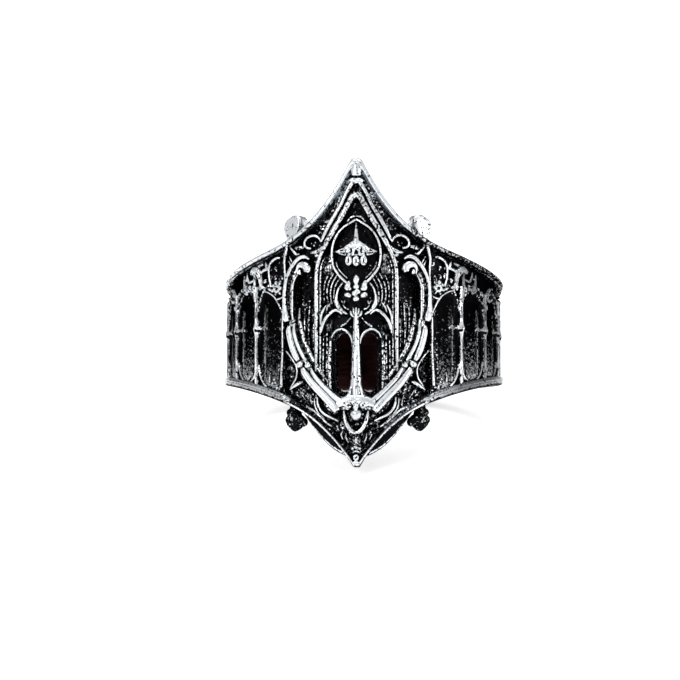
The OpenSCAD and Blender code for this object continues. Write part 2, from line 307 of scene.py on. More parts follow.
def moulding_tree():
    """Sweeps a profile along flat paths, with a crown as round as it is wide and straight flanks."""
    tree, given = new_tree("Moulding", [("Profile", "Object")])
    paths = add(tree, "GeometryNodeMeshToCurve", given["Geometry"])
    paths = add(tree, "GeometryNodeSetCurveNormal", paths, mode="Z_UP")
    outline = add(tree, "GeometryNodeObjectInfo", given["Profile"]).outputs["Geometry"]
    outline = add(tree, "GeometryNodeMeshToCurve", outline)
    names = ("half_width", "rise", "foot", "crest_at", "shine")
    width, rise, foot, crest, shine = (stored(tree, name) for name in names)
    swept = add(tree, "GeometryNodeCurveToMesh", paths, outline, width, True)
    place = add(tree, "ShaderNodeSeparateXYZ", add(tree, "GeometryNodeInputPosition")).outputs
    # the crown falls from the crest as the profile does, and the flanks end at the foot
    drop = calc(tree, "MULTIPLY", calc(tree, "SUBTRACT", 1.0, rise), width)
    crown = calc(tree, "MULTIPLY_ADD", drop, -1.2, crest)
    radius = calc(tree, "MINIMUM", crown, calc(tree, "MULTIPLY_ADD", rise, 1.0, foot))
    place = add(tree, "ShaderNodeCombineXYZ", place[0], place[1], radius)
    raised = add(tree, "GeometryNodeSetPosition", swept, None, place)
    crown = ramp(tree, rise, 0.4, 0.78, 0.0, 1.0)
    worn = calc(tree, "MULTIPLY", crown, shine)
    fold(tree, given, add(tree, "GeometryNodeStoreNamedAttribute", raised, None, "worn", worn))
    return tree


def in_mm(settings):
    """The sizes in millimetres, as the lists of paths are."""
    keys = [k for k in settings.bl_rna.properties.keys() if k not in ("rna_type", "name")]
    lengths = {k: getattr(settings, k) / MM for k in keys if settings.bl_rna.properties[k].unit == "LENGTH"}
    return SimpleNamespace(half=math.pi * settings.rim_radius / MM, **lengths)


def lapse(arc, span):
    return np.maximum(0, 1 - np.abs(arc) / span)


def top_of(s, arc):
    return (
        s.band_top
        + s.top_rise * lapse(arc, s.half) ** 2.8
        + s.gable_rise * lapse(arc, s.gable_arc) ** 2.8
        - s.tip_round * lapse(arc, s.tip_arc) ** 2
    )


def foot_of(s, arc):
    fall = s.foot_rise * lapse(arc, s.half) ** 5 + s.point_rise * lapse(arc, s.panel_arc) ** 2.4
    return -s.band_foot - fall


def smooth(low, high, x):
    t = np.clip((np.asarray(x, float) - low) / (high - low), 0, 1)
    return t * t * (3 - 2 * t)


def patch(x, start, end):
    """1 between the two slopes start and end, and 0 outside them."""
    return smooth(*start, x) * (1 - smooth(*end, x))


def dome(x, z=0.0):
    """1 at the middle, falling to 0 at a distance of 1 from it."""
    return np.maximum(0, 1 - x**2 - z**2)


def put(name, data):
    """A new object in the scene."""
    made = bpy.data.objects.new(name, data)
    bpy.context.scene.collection.objects.link(made)
    return made


def flat_mesh(name, points, faces=(), edges=(), **attributes):
    """A new object laid out flat, from millimetres, with a number per point under each name."""
    mesh = bpy.data.meshes.new(name)
    mesh.from_pydata((np.asarray(points, float) * MM).tolist(), list(edges), list(faces))
    for key, values in attributes.items():
        values = np.broadcast_to(np.asarray(values, np.float32), len(mesh.vertices))
        mesh.attributes.new(key, "FLOAT", "POINT").data.foreach_set("value", np.ascontiguousarray(values))
    return put(name, mesh)


def grid_faces(rows, columns, closed=False, around=False):
    """Quads between rows of points. closed joins the last column to the first, and around the last row."""
    i, j = np.meshgrid(np.arange(rows - (not around)), np.arange(columns - (not closed)), indexing="ij")
    here, after, over = i * columns, (j + 1) % columns, (i + 1) % rows * columns
    return np.stack([here + j, over + j, over + after, here + after], -1).reshape(-1, 4).tolist()


def bake(piece):
    """Turns an object into the plain mesh that its modifiers make of it."""
    old = piece.data
    made = bpy.data.meshes.new_from_object(piece.evaluated_get(bpy.context.evaluated_depsgraph_get()))
    piece.modifiers.clear()
    piece.data = made
    bpy.data.meshes.remove(old)
    return made


def shape(piece, tree, **inputs):
    """Folds a flat piece with its tree and makes it a plain mesh."""
    sizes = bpy.context.scene.ring_sizes
    inputs = {"Material": cast_silver(), **{size_name(k): getattr(sizes, k) for k in FORM}, **inputs}
    modifier = piece.modifiers.new("Fold", "NODES")
    modifier.node_group = tree
    for item in tree.interface.items_tree:
        if item.in_out == "INPUT" and item.name in inputs:
            modifier[item.identifier] = inputs[item.name]
    bake(piece).name = piece.name
    return piece


def finish(piece, tree=None, sharp=40, **inputs):
    """Shapes a piece if it has a tree still to go through, smooths it, and sets it on the ring."""
    if tree:
        shape(piece, tree, **inputs)
    piece.data.shade_smooth()
    piece.data.set_sharp_from_angle(angle=math.radians(sharp))
    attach(piece, "root")
    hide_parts("ring")
    return piece


def flow(rows, steps=6, closed=False):
    """A smooth curve through rows of numbers."""
    rows = np.asarray(rows, float)
    count = len(rows)
    if closed:
        before, after, later = np.roll(rows, 1, 0), np.roll(rows, -1, 0), np.roll(rows, -2, 0)
    else:
        wide = np.vstack([2 * rows[0] - rows[1], rows, 2 * rows[-1] - rows[-2]])
        before, after, later = wide[: count - 1], rows[1:], wide[3:]
        last, rows = rows[-1:], rows[:-1]
    t = np.linspace(0, 1, steps, endpoint=False)[None, :, None]
    a, b, c, d = (x[:, None] for x in (before, rows, after, later))
    made = 0.5 * (2 * b + (c - a) * t + (2 * a - 5 * b + 4 * c - d) * t**2 + (3 * b - a - 3 * c + d) * t**3)
    made = made.reshape(-1, rows.shape[1])
    return made if closed else np.vstack([made, last])


THINNEST = 0.02  # half width of the thinnest moulding
# cross-section of a moulding: rows of share of the half width, and rise
BEAD = [(-1, 0), (-0.97, 0.4), (-0.86, 0.68), (-0.62, 0.88), (-0.3, 0.98), (0, 1), (0.3, 0.98),
        (0.62, 0.88), (0.86, 0.68), (0.97, 0.4), (1, 0)]


def sweep(name, paths):
    """Mouldings along paths: [arc, height, half width, crest], with a foot, a shine and closed or not."""
    points, edges, numbers = [], [], []
    for path, foot, shine, closed in paths:
        first = len(points)
        for arc, height, width, crest in path:
            points.append((arc, height, 0))
            numbers.append((max(width, THINNEST) * MM, foot * MM, crest * MM, shine))
        count = len(points) - first
        edges += [(first + i, first + i + 1) for i in range(count - 1)]
        if closed:
            edges.append((len(points) - 1, first))
    width, foot, crest, shine = np.array(numbers).T
    piece = flat_mesh(name, points, edges=edges, half_width=width, foot=foot, crest_at=crest, shine=shine)
    count = len(BEAD)
    outline = [(i, (i + 1) % count) for i in range(count)]
    section = flat_mesh("bead", [(x / MM, 0, 0) for x, _ in BEAD], edges=outline, rise=[y for _, y in BEAD])
    finish(piece, bpy.data.node_groups.get("Moulding") or moulding_tree(), Profile=section)
    bpy.data.objects.remove(section)
    return piece


def pair(path, foot=10.2, shine=1.0, closed=False, steps=6):
    """A smooth path on both sides of the panel's middle."""
    right = flow(path, steps, closed)
    left = right * (-1, 1, 1, 1)
    return [(right, foot, shine, closed), (left[::-1], foot, shine, closed)]


def single(path, foot=10.2, shine=1.0, closed=False, steps=6):
    return [(flow(path, steps, closed), foot, shine, closed)]


def mirrored(strands):
    """Strands on one side of the panel's middle and their likeness on the other."""
    return [[[way * arc, *rest] for arc, *rest in strand] for way in (1, -1) for strand in strands]


def cast(name, strands, voxel=0.05, base=10.3, crest=11.6, wear=(0, 1), grey=0.0, sharp=60):
    """Ornament modelled in wax: strands of [arc, height, radius, thickness] melted into one skin."""
    shell = bmesh.new()
    for strand in strands:
        dense = flow(strand, 5) if len(strand) > 1 else np.asarray(strand, float)
        for arc, height, radius, thick in dense:
            made = bmesh.ops.create_icosphere(shell, subdivisions=2, radius=max(thick, 0.03))
            bmesh.ops.translate(shell, verts=made["verts"], vec=(arc, height, radius))
    wax = bpy.data.meshes.new(name + "_wax")
    shell.to_mesh(wax)
    shell.free()
    holder = put(name + "_wax", wax)
    remesh = holder.modifiers.new("Melt", "REMESH")
    remesh.mode, remesh.voxel_size = "VOXEL", voxel
    relax = holder.modifiers.new("Relax", "SMOOTH")
    relax.factor, relax.iterations = 0.5, 2
    skin = bake(holder)
    points = np.empty(len(skin.vertices) * 3)
    skin.vertices.foreach_get("co", points)
    points = points.reshape(-1, 3)
    faces = [list(f.vertices) for f in skin.polygons]
    worn = wear[0] + (wear[1] - wear[0]) * smooth(base, crest, points[:, 2])
    bpy.data.objects.remove(holder)
    bpy.data.meshes.remove(skin)
    # painted shade: the ornament is darkened towards both sides, more so on the right, over its own
    # dullness
    dullness_and_painted_side_shade = np.maximum(grey, 0.5 * smooth(9.5, 12, -points[:, 0]) + 0.75 * smooth(7.6, 10, points[:, 0]))
    return finish(flat_mesh(name, points, faces, worn=worn, tarnish=dullness_and_painted_side_shade), fold_tree(), sharp=sharp)


# Materials


def cast_silver():
    """Sterling silver, cast, blackened with sulphide and rubbed back till the crests shine."""
    if "oxidised_cast_silver" in bpy.data.materials:
        return bpy.data.materials["oxidised_cast_silver"]
    look = bpy.context.scene.ring_finish
    material = bpy.data.materials.new("oxidised_cast_silver")
    tree = empty_tree(material)
    place = add(tree, "ShaderNodeTexCoord").outputs["Object"]
    # the mould's grain is about 0.16 mm, and the rubbed metal shows through it in specks half as wide
    grain = add(tree, "ShaderNodeTexNoise", place, 0.5 / look.grain, 3.0, 0.62)
    speck = add(tree, "ShaderNodeTexNoise", place, 1.0 / look.grain, 2.0, 0.6)
    cloud = add(tree, "ShaderNodeTexNoise", place, 0.9 / MM, 2.0, 0.5)
    # the wear and tarnish attributes carry real wear and greying, and painted light and shade too: a sheen,
    # lit tops, dark outlines and shade towards the sides
    worn = stored(tree, "worn")
    tarnish = stored(tree, "tarnish")
    open_sky = add(tree, "ShaderNodeAmbientOcclusion", None, 0.4 * MM, samples=8).outputs["AO"]
    shelter = ramp(tree, open_sky, 0.1, 0.55, -0.2, 0.0)
    rub = calc(tree, "ADD", worn, shelter)
    rough = calc(tree, "SUBTRACT", grain, 0.5)
    rub = calc(tree, "MULTIPLY_ADD", rough, 1.6, rub)
    fine = calc(tree, "SUBTRACT", speck, 0.5)
    rub = calc(tree, "MULTIPLY_ADD", fine, 3.4, rub)
    # the oxide is whole where the rubbing is under 0.42, and gone where it's over 0.58
    bright = ramp(tree, rub, 0.42, 0.58, 0.0, 1.0)
    tone = ramp(tree, cloud, 0.3, 0.7, 0.88, 1.0)
    tone = calc(tree, "MULTIPLY", tone, calc(tree, "SUBTRACT", 1.0, tarnish))
    silver = mix(tree, 1.0, (*look.silver, 1), tone, blend_type="MULTIPLY")
    mixed = mix(tree, bright, (*look.patina, 1), silver)
    roughness = ramp(tree, bright, 0.0, 1.0, 0.38, 0.26)
    relief = calc(tree, "MULTIPLY", grain, 0.6)
    relief = calc(tree, "MULTIPLY_ADD", speck, 0.4, relief)
    bump = add(tree, "ShaderNodeBump", 0.3, 0.04 * MM, None, relief)
    shader = add(tree, "ShaderNodeBsdfPrincipled", mixed, 1.0, roughness)
    tree.links.new(bump.outputs[0], shader.inputs["Normal"])
    # the oxide stays dark at a glancing angle, and the bare silver does not
    glance = mix(tree, bright, (0.12, 0.12, 0.13, 1), (1, 1, 1, 1))
    tree.links.new(glance, shader.inputs["Specular Tint"])
    add(tree, "ShaderNodeOutputMaterial", shader)
    return material


def lining_silver():
    """Sterling silver, darkened with sulphide inside the finger hole and rubbed a little by the finger,
    with a painted warm red reflection in its colour.
    """
    look = bpy.context.scene.ring_finish
    material = bpy.data.materials.new("oxidised_silver_lining")
    tree = empty_tree(material)
    place = add(tree, "ShaderNodeTexCoord").outputs["Object"]
    lean = bpy.context.scene.ring_sizes.lean
    upright = add(tree, "ShaderNodeMapping", place, None, (lean, 0, 0), (1, 1, 9), vector_type="POINT")
    marks = add(tree, "ShaderNodeTexNoise", upright, 0.4 / MM, 4.0, 0.6)
    stain = add(tree, "ShaderNodeTexNoise", place, 0.3 / MM, 3.0, 0.6)
    shade = ramp(tree, stain, 0.34, 0.62, 0.5, 0.08)
    shade = calc(tree, "MULTIPLY", shade, ramp(tree, marks, 0.3, 0.7, 0.55, 1.45))
    oxide_and_red_reflection = mix(tree, 1.0, (*look.lining, 1), shade, blend_type="MULTIPLY")
    edge = stored(tree, "worn")
    # streaks are rubbed bright near the edges
    rub = calc(tree, "MULTIPLY_ADD", marks, 1.3, edge)
    rub = ramp(tree, rub, 0.95, 1.45, 0.0, 0.6)
    worn = mix(tree, rub, oxide_and_red_reflection, (*look.silver, 1))
    roughness = ramp(tree, marks, 0.3, 0.7, 0.28, 0.5)
    bump = add(tree, "ShaderNodeBump", 0.2, 0.02 * MM, None, marks)
    shader = add(tree, "ShaderNodeBsdfPrincipled", worn, 1.0, roughness)
    tree.links.new(bump.outputs[0], shader.inputs["Normal"])
    add(tree, "ShaderNodeOutputMaterial", shader)
    return material


# Pieces

LIP = 1.15  # depth of the lining that shows below the rim on each side of the lower point
LIP_ARC = 4.7  # arc that it takes up on each side
# the lancet slots, with the foot at the panel's floor and the sill at the finger hole
SLOT = SimpleNamespace(arc=1.15, width=1.4, top=-0.4, foot=-5.75, sill=-5.05)
# Rims, as rows of [distance from the edge, depth below the rim's face, wear], from the wall out to the
# edge; the low wear of the outermost rows is painted shade, an outline round the rims and a shadow band
# along the satin rim
UPPER_RIM = [(0.75, 1.4, 0), (0.68, 0.6, 0), (0.63, 0.22, 0.3), (0.57, 0.1, 1), (0.52, 0.2, 0.3),
             (0.48, 0.36, 0), (0.44, 0.28, 0.2), (0.39, 0.08, 1), (0.3, 0.01, 1.1), (0.17, 0, 1.1),
             (0.1, 0.04, 0.95), (0.03, 0.13, 0.3), (0, 0.26, -0.2)]
FINE_RIM = [(0.75, 1.4, 0), (0.7, 0.8, 0), (0.6, 0.75, 0), (0.5, 0.65, 0), (0.42, 0.48, 0.55),
            (0.35, 0.52, 0), (0.29, 0.42, 0), (0.25, 0.2, 0.2), (0.2, 0.04, 1), (0.14, 0, 1.1),
            (0.08, 0.04, 0.9), (0.03, 0.12, 0.3), (0, 0.26, -0.2)]
SATIN_RIM = [(0.76, 1.4, 0), (0.75, 0.5, 0.2), (0.73, 0.25, 0.9), (0.69, 0.1, 1.15), (0.61, 0.06, 0.72),
             (0.51, 0, 1.1), (0.4, 0.06, 0.7), (0.3, 0.02, 1.05), (0.2, 0.07, 0.7), (0.15, 0.04, 0.5),
             (0.11, 0.08, -0.4), (0.05, 0.16, -0.5), (0, 0.26, -0.5)]


def slot_cutter(grow):
    """The two lancet slots as closed bars through the wall, laid out flat. Their sills rise inwards."""
    half = SLOT.width / 2 + grow
    turn = np.radians(np.arange(0, 181, 15))
    head = np.stack([half * np.cos(turn), SLOT.top - SLOT.width / 2 + half * np.sin(turn)], 1)
    tail = np.stack([-half * np.cos(turn), SLOT.foot + SLOT.width / 2 - half * np.sin(turn)], 1)
    floor, wall = 10.4, 0.9  # the floor's radius, and the wall from there to the finger hole
    slope = (SLOT.sill - SLOT.foot) / wall
    count, points, faces = len(head) + len(tail), [], []
    for middle in (-SLOT.arc, SLOT.arc):
        first = len(points)
        for radius in (8.9, 12.6):  # the bars' ends, clear of the wall and of the relief
            points += [(middle + x, z, radius) for x, z in head]
            points += [(middle + x, z + slope * (floor - radius), radius) for x, z in tail]
        bars = [(first + i, first + (i + 1) % count) for i in range(count)]
        faces += [[a, b, b + count, a + count] for a, b in bars]
        faces += [[first + i for i in reversed(range(count))], [first + count + i for i in range(count)]]
    return shape(flat_mesh("slot_cutter", points, faces, worn=0.0), fold_tree())


def cut_slots(piece, grow):
    """Cuts the slots through a folded piece."""
    cutter = slot_cutter(grow)
    cut = piece.modifiers.new("Slots", "BOOLEAN")
    cut.operation, cut.solver, cut.object = "DIFFERENCE", "EXACT", cutter
    bake(piece)
    bpy.data.objects.remove(cutter)


class RING_OT_body(bpy.types.Operator):
    """Make the ring's body: the finger hole's lining, both rims and the wall between them"""

    bl_idname = "ring.body"
    bl_label = "Body and Rims"

    def execute(self, context):
        s = in_mm(context.scene.ring_sizes)
        bore, rim, wall = s.bore_radius, s.rim_radius, s.wall_radius - 0.12
        # the sections stand closer together towards the panel
        spread = np.linspace(-1, 1, 721)[:-1]
        arcs = np.sign(spread) * np.abs(spread) ** 1.25 * s.half
        side = np.abs(arcs)
        count = len(arcs)
        # where an edge is steep, its rim's rows stand further apart in height, and the rim keeps its width
        fine = np.linspace(0, s.half, 4000)
        sharp_top = top_of(s, fine) + s.tip_round * lapse(fine, s.tip_arc) ** 2
        steep = [
            np.interp(side, fine, np.hypot(1, np.gradient(edge, fine)) ** 0.85)
            for edge in (sharp_top, foot_of(s, fine))
        ]
        # the lower rim is fine under the panel, and satin round the band
        plain = smooth(5.2, 6.6, side)[:, None, None]
        upper = np.repeat([UPPER_RIM], count, 0)
        lower = np.array(FINE_RIM) * (1 - plain) + np.array(SATIN_RIM) * plain
        # painted shade: parts of the upper rim are painted black as a dark reflection, more so on the right
        painted_shade_right = 0.85 * smooth(3.6, 5, arcs) + 0.2 * smooth(7.5, 9.5, arcs)
        painted_shade_left = 0.2 * smooth(3.4, 4.4, -arcs)
        painted_rim_shade = np.where(arcs > 0, painted_shade_right, painted_shade_left) * (1 - smooth(17, 21, side))
        # the groove is rubbed bright round the upper point, and a band of the right foot is grainy
        point = smooth(4.4, 2.4, side)
        upper[..., 2] += point[:, None] * [0, 0.7, 0.7, 0.2, 0.8, 0.9, 0.8, 0.1, 0.05, 0.05, 0.3, 0.8, 0.8]
        lower[:, 2:8, 2] += (0.5 * smooth(1, 3, arcs) * (1 - plain[:, 0, 0]))[:, None]
        upper[..., 2] *= 1 - painted_rim_shade[:, None] * [1, 1, 1, 0.5, 1, 1, 1, 0.9, 0.85, 0.8, 0.45, 0.3, 0]
        crescent = LIP * np.sin(np.pi * np.clip((side - 0.85) / LIP_ARC, 0, 1) ** 0.9)
        # the rows from the upper edge in to the finger hole, as [distance from the edge, radius, wear]
        inner = np.array([(0, rim - 0.75, 0.95), (0, bore + 0.25, 1.0), (0.03, bore + 0.1, 1.05),
                          (0.12, bore + 0.02, 0.9), (0.3, bore, 0.45)])
        # the same rows of the lower edge, with the lip's two faces first
        lip = np.array([(0, wall + 0.15, -0.6), (0.26, wall + 0.13, -0.5), (0.2, wall + 0.13, 0.7),
                        (0.12, wall + 0.1, 0.9), (0.06, wall + 0.06, -0.2), (0, wall - 0.05, -0.4),
                        (0, bore + 0.25, -0.2), (0.03, bore + 0.1, 0), (0.12, bore + 0.02, 0),
                        (0.3, bore, 0)])
        # the lower point's tip is cut blunt
        cut = np.maximum(0, foot_of(s, 0.24) - foot_of(s, side))

        def section(share, *numbers):
            """Points as height from the edge, radius, wear and share."""
            return np.column_stack([*numbers, np.full(len(numbers[0]), share)])

        columns = []
        for i in range(count):
            top, low = upper[i], lower[i]
            # the lip's faces close up where the crescent runs out, and all of it but its root hangs down
            keep = np.where(np.arange(len(lip)) < 6, min(1, crescent[i] / 0.4), 1)
            drop = np.where(np.arange(len(lip)) > 0, crescent[i], 0)
            rubbed = lip[:, 2] + (0.95 - lip[:, 2]) * plain[i, 0, 0] * ([1] * 7 + [0.8, 0, 0])
            columns.append(np.vstack([
                section(1.0, -top[:, 0] * steep[0][i], rim - top[:, 1], top[:, 2]),
                section(1.0, -inner[:, 0], inner[:, 1], inner[:, 2]),
                [(0, bore, 0, share) for share in (0.6, 0.2, -0.2, -0.6)],
                section(-1.0, lip[:, 0] * keep - drop + cut[i], lip[:, 1], rubbed)[::-1],
                [(cut[i], rim - 0.75, 0.9 * plain[i, 0, 0], -1)],
                section(-1.0, low[:, 0] * steep[1][i] + cut[i], rim - low[:, 1], low[:, 2])[::-1],
            ]))
        columns = np.array(columns)
        arc = np.broadcast_to(arcs[:, None], columns.shape[:2])
        points = np.stack([arc, columns[..., 0], columns[..., 1]], -1).reshape(-1, 3)
        faces = grid_faces(count, columns.shape[1], closed=True, around=True)
        above = columns[..., 3] > 0
        # the satin foot is grey, and painted darker towards the right as shade; the upper rim takes its
        # painted shade as grey too
        foot_grey_and_painted_shade = (0.52 + 0.26 * smooth(7, 10, arcs[:, None])) * plain[:, 0]
        grey = np.where(above, 0.4 * painted_rim_shade[:, None], foot_grey_and_painted_shade)
        # the upper edge is grey on the way in to the finger hole
        grey[:, len(UPPER_RIM) : len(UPPER_RIM) + len(inner)] = 0.45
        # the wear holds the painted shade of the upper rim and of the rims' outer edges
        wear, share = columns[..., 2].ravel(), columns[..., 3].ravel()
        piece = flat_mesh("ring_body", points, faces, share=share, worn=wear, tarnish=grey.ravel())
        shape(piece, fold_tree())
        cut_slots(piece, 0.04)
        # the finger hole has a finish of its own
        piece.data.materials.append(lining_silver())
        axis = Vector(FINGER["axis"])
        for face in piece.data.polygons:
            out = face.center - axis * face.center.dot(axis)
            face.material_index = int(out.length < (bore + 0.05) * MM and face.normal.dot(out) < 0)
        finish(piece, sharp=50)
        return {"FINISHED"}


class RING_OT_ground(bpy.types.Operator):
    """Make the panel's floor, with its fluting and its cast grain"""

    bl_idname = "ring.ground"
    bl_label = "Panel Floor"

    def execute(self, context):
        s = in_mm(context.scene.ring_sizes)
        arcs = np.linspace(-6.4, 6.4, 191)
        drop = np.linspace(0, 1, 261)
        arc, share = np.meshgrid(arcs, drop, indexing="ij")
        inset = 0.55  # from the band's edges to the floor's
        height = top_of(s, arc) - inset + share * (foot_of(s, arc) + inset - top_of(s, arc) + inset)
        side = np.abs(arc)
        spots = np.stack([arc, height], -1).reshape(-1, 2) * 2.3
        grain = np.array([noise.fractal(Vector((x, z, 0)), 0.8, 2.1, 4) for x, z in spots])
        grain = grain.reshape(arc.shape)
        relief = s.floor_radius + 0.06 * grain
        worn = np.full(arc.shape, -0.45)
        # fluted jambs beside the slots, and softer flutes in the pockets of the shield
        jamb = patch(side, (2.0, 2.1), (3.1, 3.2)) * patch(height, (-5.4, -4.6), (3.8, 5.4))
        flute = 0.5 - 0.5 * np.cos(2 * np.pi * (side - 2.0) / 0.36)
        relief = relief + jamb * (0.22 * flute + 0.4 * np.abs(grain))
        worn = worn + jamb * (0.8 + 0.12 * flute + 0.25 * smooth(2.6, 2.2, side))
        pocket = patch(side, (3.45, 3.6), (5, 5.2)) * patch(height, (-4.2, -3.2), (0.6, 3.4))
        flute = 0.5 - 0.5 * np.cos(2 * np.pi * (side - 3.5) / 0.42)
        relief = relief + pocket * (0.16 * flute + 0.35 * np.abs(grain))
        low_side = smooth(3.9, 4.5, side) * smooth(1.5, 0.5, height)
        worn = worn + pocket * (0.85 + 0.12 * flute + 0.25 * low_side)
        # the ground above the arches of the slots and beside the roundel
        beside = patch(side, (2.0, 2.4), (3.0, 3.3)) * patch(height, (4.2, 4.8), (5.6, 6.2))
        worn = worn + 0.9 * beside
        # grainy channels beside the gable's outer line, near the upper point
        line = np.interp(height, [6.9, 8.7, 9.8, 10.6, 11.3, 11.6], [2.9, 1.9, 1.22, 0.85, 0.5, 0.1])
        channel = smooth(line - 0.05, line + 0.05, side) * smooth(8.8, 10.6, height)
        relief = relief + channel * (0.55 + 0.4 * np.abs(grain))
        strip = smooth(line - 0.45, line - 0.3, side) * (1 - channel) * smooth(7, 8, height)
        worn = worn + 0.95 * channel + 0.5 * strip
        # knotted ground outside the shield
        outside = smooth(0.95, 1.05, np.hypot(arc / 5.7, (height - 0.4) / 7.2)) * (height < 0)
        relief = relief + outside * 0.4 * np.maximum(0, grain)
        worn = worn + outside * 0.7
        back = np.full((len(arcs), 1), s.wall_radius - 0.3)
        radius = np.hstack([relief, back, back])
        height = np.hstack([height, height[:, -1:], height[:, :1]])
        arc = np.hstack([arc, arc[:, :1], arc[:, :1]])
        worn = np.hstack([worn, 0 * back, 0 * back])
        points = np.stack([arc, height, radius], -1).reshape(-1, 3)
        loop = radius.shape[1]
        faces = [face[::-1] for face in grid_faces(len(arcs), loop, closed=True)]
        faces += [list(range(loop))[::-1], [(len(arcs) - 1) * loop + i for i in range(loop)]]
        piece = shape(flat_mesh("panel_floor", points, faces, worn=worn.reshape(-1)), fold_tree())
        cut_slots(piece, 0)
        finish(piece, sharp=55)
        return {"FINISHED"}


class RING_OT_arcade(bpy.types.Operator):
    """Make the arcade of niches and colonnettes round the band"""

    bl_idname = "ring.arcade"
    bl_label = "Arcade"

    def execute(self, context):
        sizes = context.scene.ring_sizes
        s = in_mm(sizes)
        pitch = 2 * (math.pi - sizes.first_bay) / sizes.bays
        half = pitch / 2 * s.rim_radius
        top, foot = 5.6, -4.8  # the edges of a bay near the panel, whose proportions the others stretch
        # columns crowd at the bay's sides, and rows stretch above and below a middle that stays as it is
        core = 0.75  # half height of that middle
        across = np.sin(np.linspace(-1, 1, 53) * np.pi / 2) * half
        rise, fall = np.linspace(1, 0, 54), np.linspace(0, 1, 66)
        step = np.linspace(core, -core, 17)[1:-1]
        share = np.concatenate([rise, np.zeros(len(step)), -fall])
        height = np.concatenate([core - 1.4 * rise, step, 1.5 * fall - core])
        z = np.maximum(share, 0) * top - np.minimum(share, 0) * foot + height
        x, z = np.meshgrid(across, z)
        far = half - x  # distance from the column away from the panel
        face, wall = s.plate_radius, s.wall_radius
        # one tall niche with a pointed head and a round foot, black inside, with dust in its foot
        crown, spring, rest, sill = 3.05, 1.5, -2.7, -4.1
        niche = half - 0.3
        beyond = np.maximum(0, (z - spring) / (crown - spring)) + np.maximum(0, (rest - z) / (rest - sill))
        reach = np.hypot(x / niche, beyond)
        radius = wall + (face - 0.2 * (z < spring) - wall) * smooth(0.88, 1.04, reach)
        inside = 1 - smooth(0.9, 1.0, reach)
        dust = smooth(-1.5, -3.3, z)
        # painted highlight: a soft grey reflection is painted in the upper half of the niche, beside the
        # column away from the panel
        painted_sheen = patch(far, (0.45, 0.85), (1.05, 1.6)) * patch(z, (-0.6, 0.4), (1.5, 2.4))
        worn = inside * (1.9 * dust + 2.1 * painted_sheen - 1.3) - 0.65 * (1 - inside)
        dust_and_painted_sheen = inside * (0.5 * dust + 0.68 * painted_sheen)
        # leaves over the head
        leaves = [(0, 3.6, 0.3, 0.4, 0.32), (0.62, 3.5, 0.3, 0.22, 0.3), (-0.62, 3.5, 0.3, 0.22, 0.3),
                  (1.15, 3.2, 0.34, 0.4, 0.3), (-1.15, 3.2, 0.34, 0.4, 0.3), (0, 4.2, 0.22, 0.2, 0.25)]
        for leaf_x, leaf_z, wide, tall, out in leaves:
            bulge = dome((x - leaf_x) / wide, (z - leaf_z) / tall)
            radius = np.maximum(radius, face + out * np.sqrt(bulge) * (bulge > 0))
            worn = np.maximum(worn, 1.25 * smooth(0.25, 0.6, bulge) - 0.65)
        hood = np.exp(-(((reach - 1.1) / 0.06) ** 2)) * (z > spring)
        radius = radius + 0.12 * hood
        worn = np.maximum(worn, 1.3 * hood - 0.65)
        # colonnettes, thin and sharp, with a knot at the middle
        away = half - np.abs(x)
        girth = 0.165 + 0.2 * np.maximum(0, 1 - np.abs(z - 0.15) / 0.72)
        shaft = np.sqrt(dome(away / (girth * 1.4))) * (z < 3.3)
        radius = np.maximum(radius, face - 0.5 + (0.85 + 0.15 * smooth(0.22, 0.42, girth)) * shaft)
        worn = np.maximum(worn, 1.75 * smooth(1.15, 0.62, away / girth) * (z < 3.3) - 0.65)
        # a thin line round the niche's foot
        ridge = np.exp(-(((reach - 1.07) / 0.06) ** 2)) * smooth(-2.4, -2.9, z)
        radius = radius + 0.15 * ridge
        worn = np.maximum(worn, 1.8 * smooth(0.2, 0.5, ridge) - 0.65)
        # brackets at mid height with two small balls, which reach out from the column away from the panel
        taper = np.minimum(far, 1)
        level = dome((z - 0.1 - 0.12 * taper) / (0.3 - 0.1 * taper))
        shelf = level * (1 - smooth(0.9, 1.5, far))
        radius = np.maximum(radius, wall + 1.12 * np.sqrt(shelf))
        # painted light: the bracket's top is painted bright and its underside dark, as light from above
        # falls on it
        painted_top_light = smooth(0.4, 0.7, shelf) * smooth(-0.02, 0.08, z)
        worn = np.where(shelf > 0.3, 1.6 * painted_top_light - 0.65, worn)
        for ball_far, ball_z in ((0.95, 0.42), (1.22, 0.16)):
            bulge = dome((far - ball_far) / 0.13, (z - ball_z) / 0.13)
            radius = np.maximum(radius, (wall + 0.85 + 0.12 * np.sqrt(bulge)) * (bulge > 0))
            worn = np.where(bulge > 0.05, 1, worn)
        points = np.stack([x, np.broadcast_to(height[:, None], x.shape), radius], -1)
        # the first and the last row turn in behind the rims
        tuck = points[[0, -1]] * (1, 1, 0) + (0, 0, wall - 0.2)
        points = np.concatenate([tuck[:1], points, tuck[1:]])
        share = np.concatenate([share[:1], share, share[-1:]])
        worn = np.concatenate([worn[:1], worn, worn[-1:]])
        dust_and_painted_sheen = np.concatenate([dust_and_painted_sheen[:1], dust_and_painted_sheen, dust_and_painted_sheen[-1:]])
        rows, columns = points.shape[:2]
        halves = (("arcade_right", 1, (sizes.bays + 1) // 2), ("arcade_left", -1, sizes.bays // 2))
        share = np.repeat(share, columns)
        for name, way, bays in halves:
            faces = [f[::-way] for f in grid_faces(rows, columns)]
            flat = (points * (way, 1, 1)).reshape(-1, 3)
            piece = flat_mesh(name, flat, faces, share=share, worn=worn.ravel(), tarnish=dust_and_painted_sheen.ravel())
            inputs = {"Bays": bays, "First Bay": sizes.first_bay, "Pitch": pitch, "Way": float(way)}
            tree = bpy.data.node_groups.get("Arcade") or arcade_tree()
            finish(piece, tree, sharp=60, **inputs)
        return {"FINISHED"}


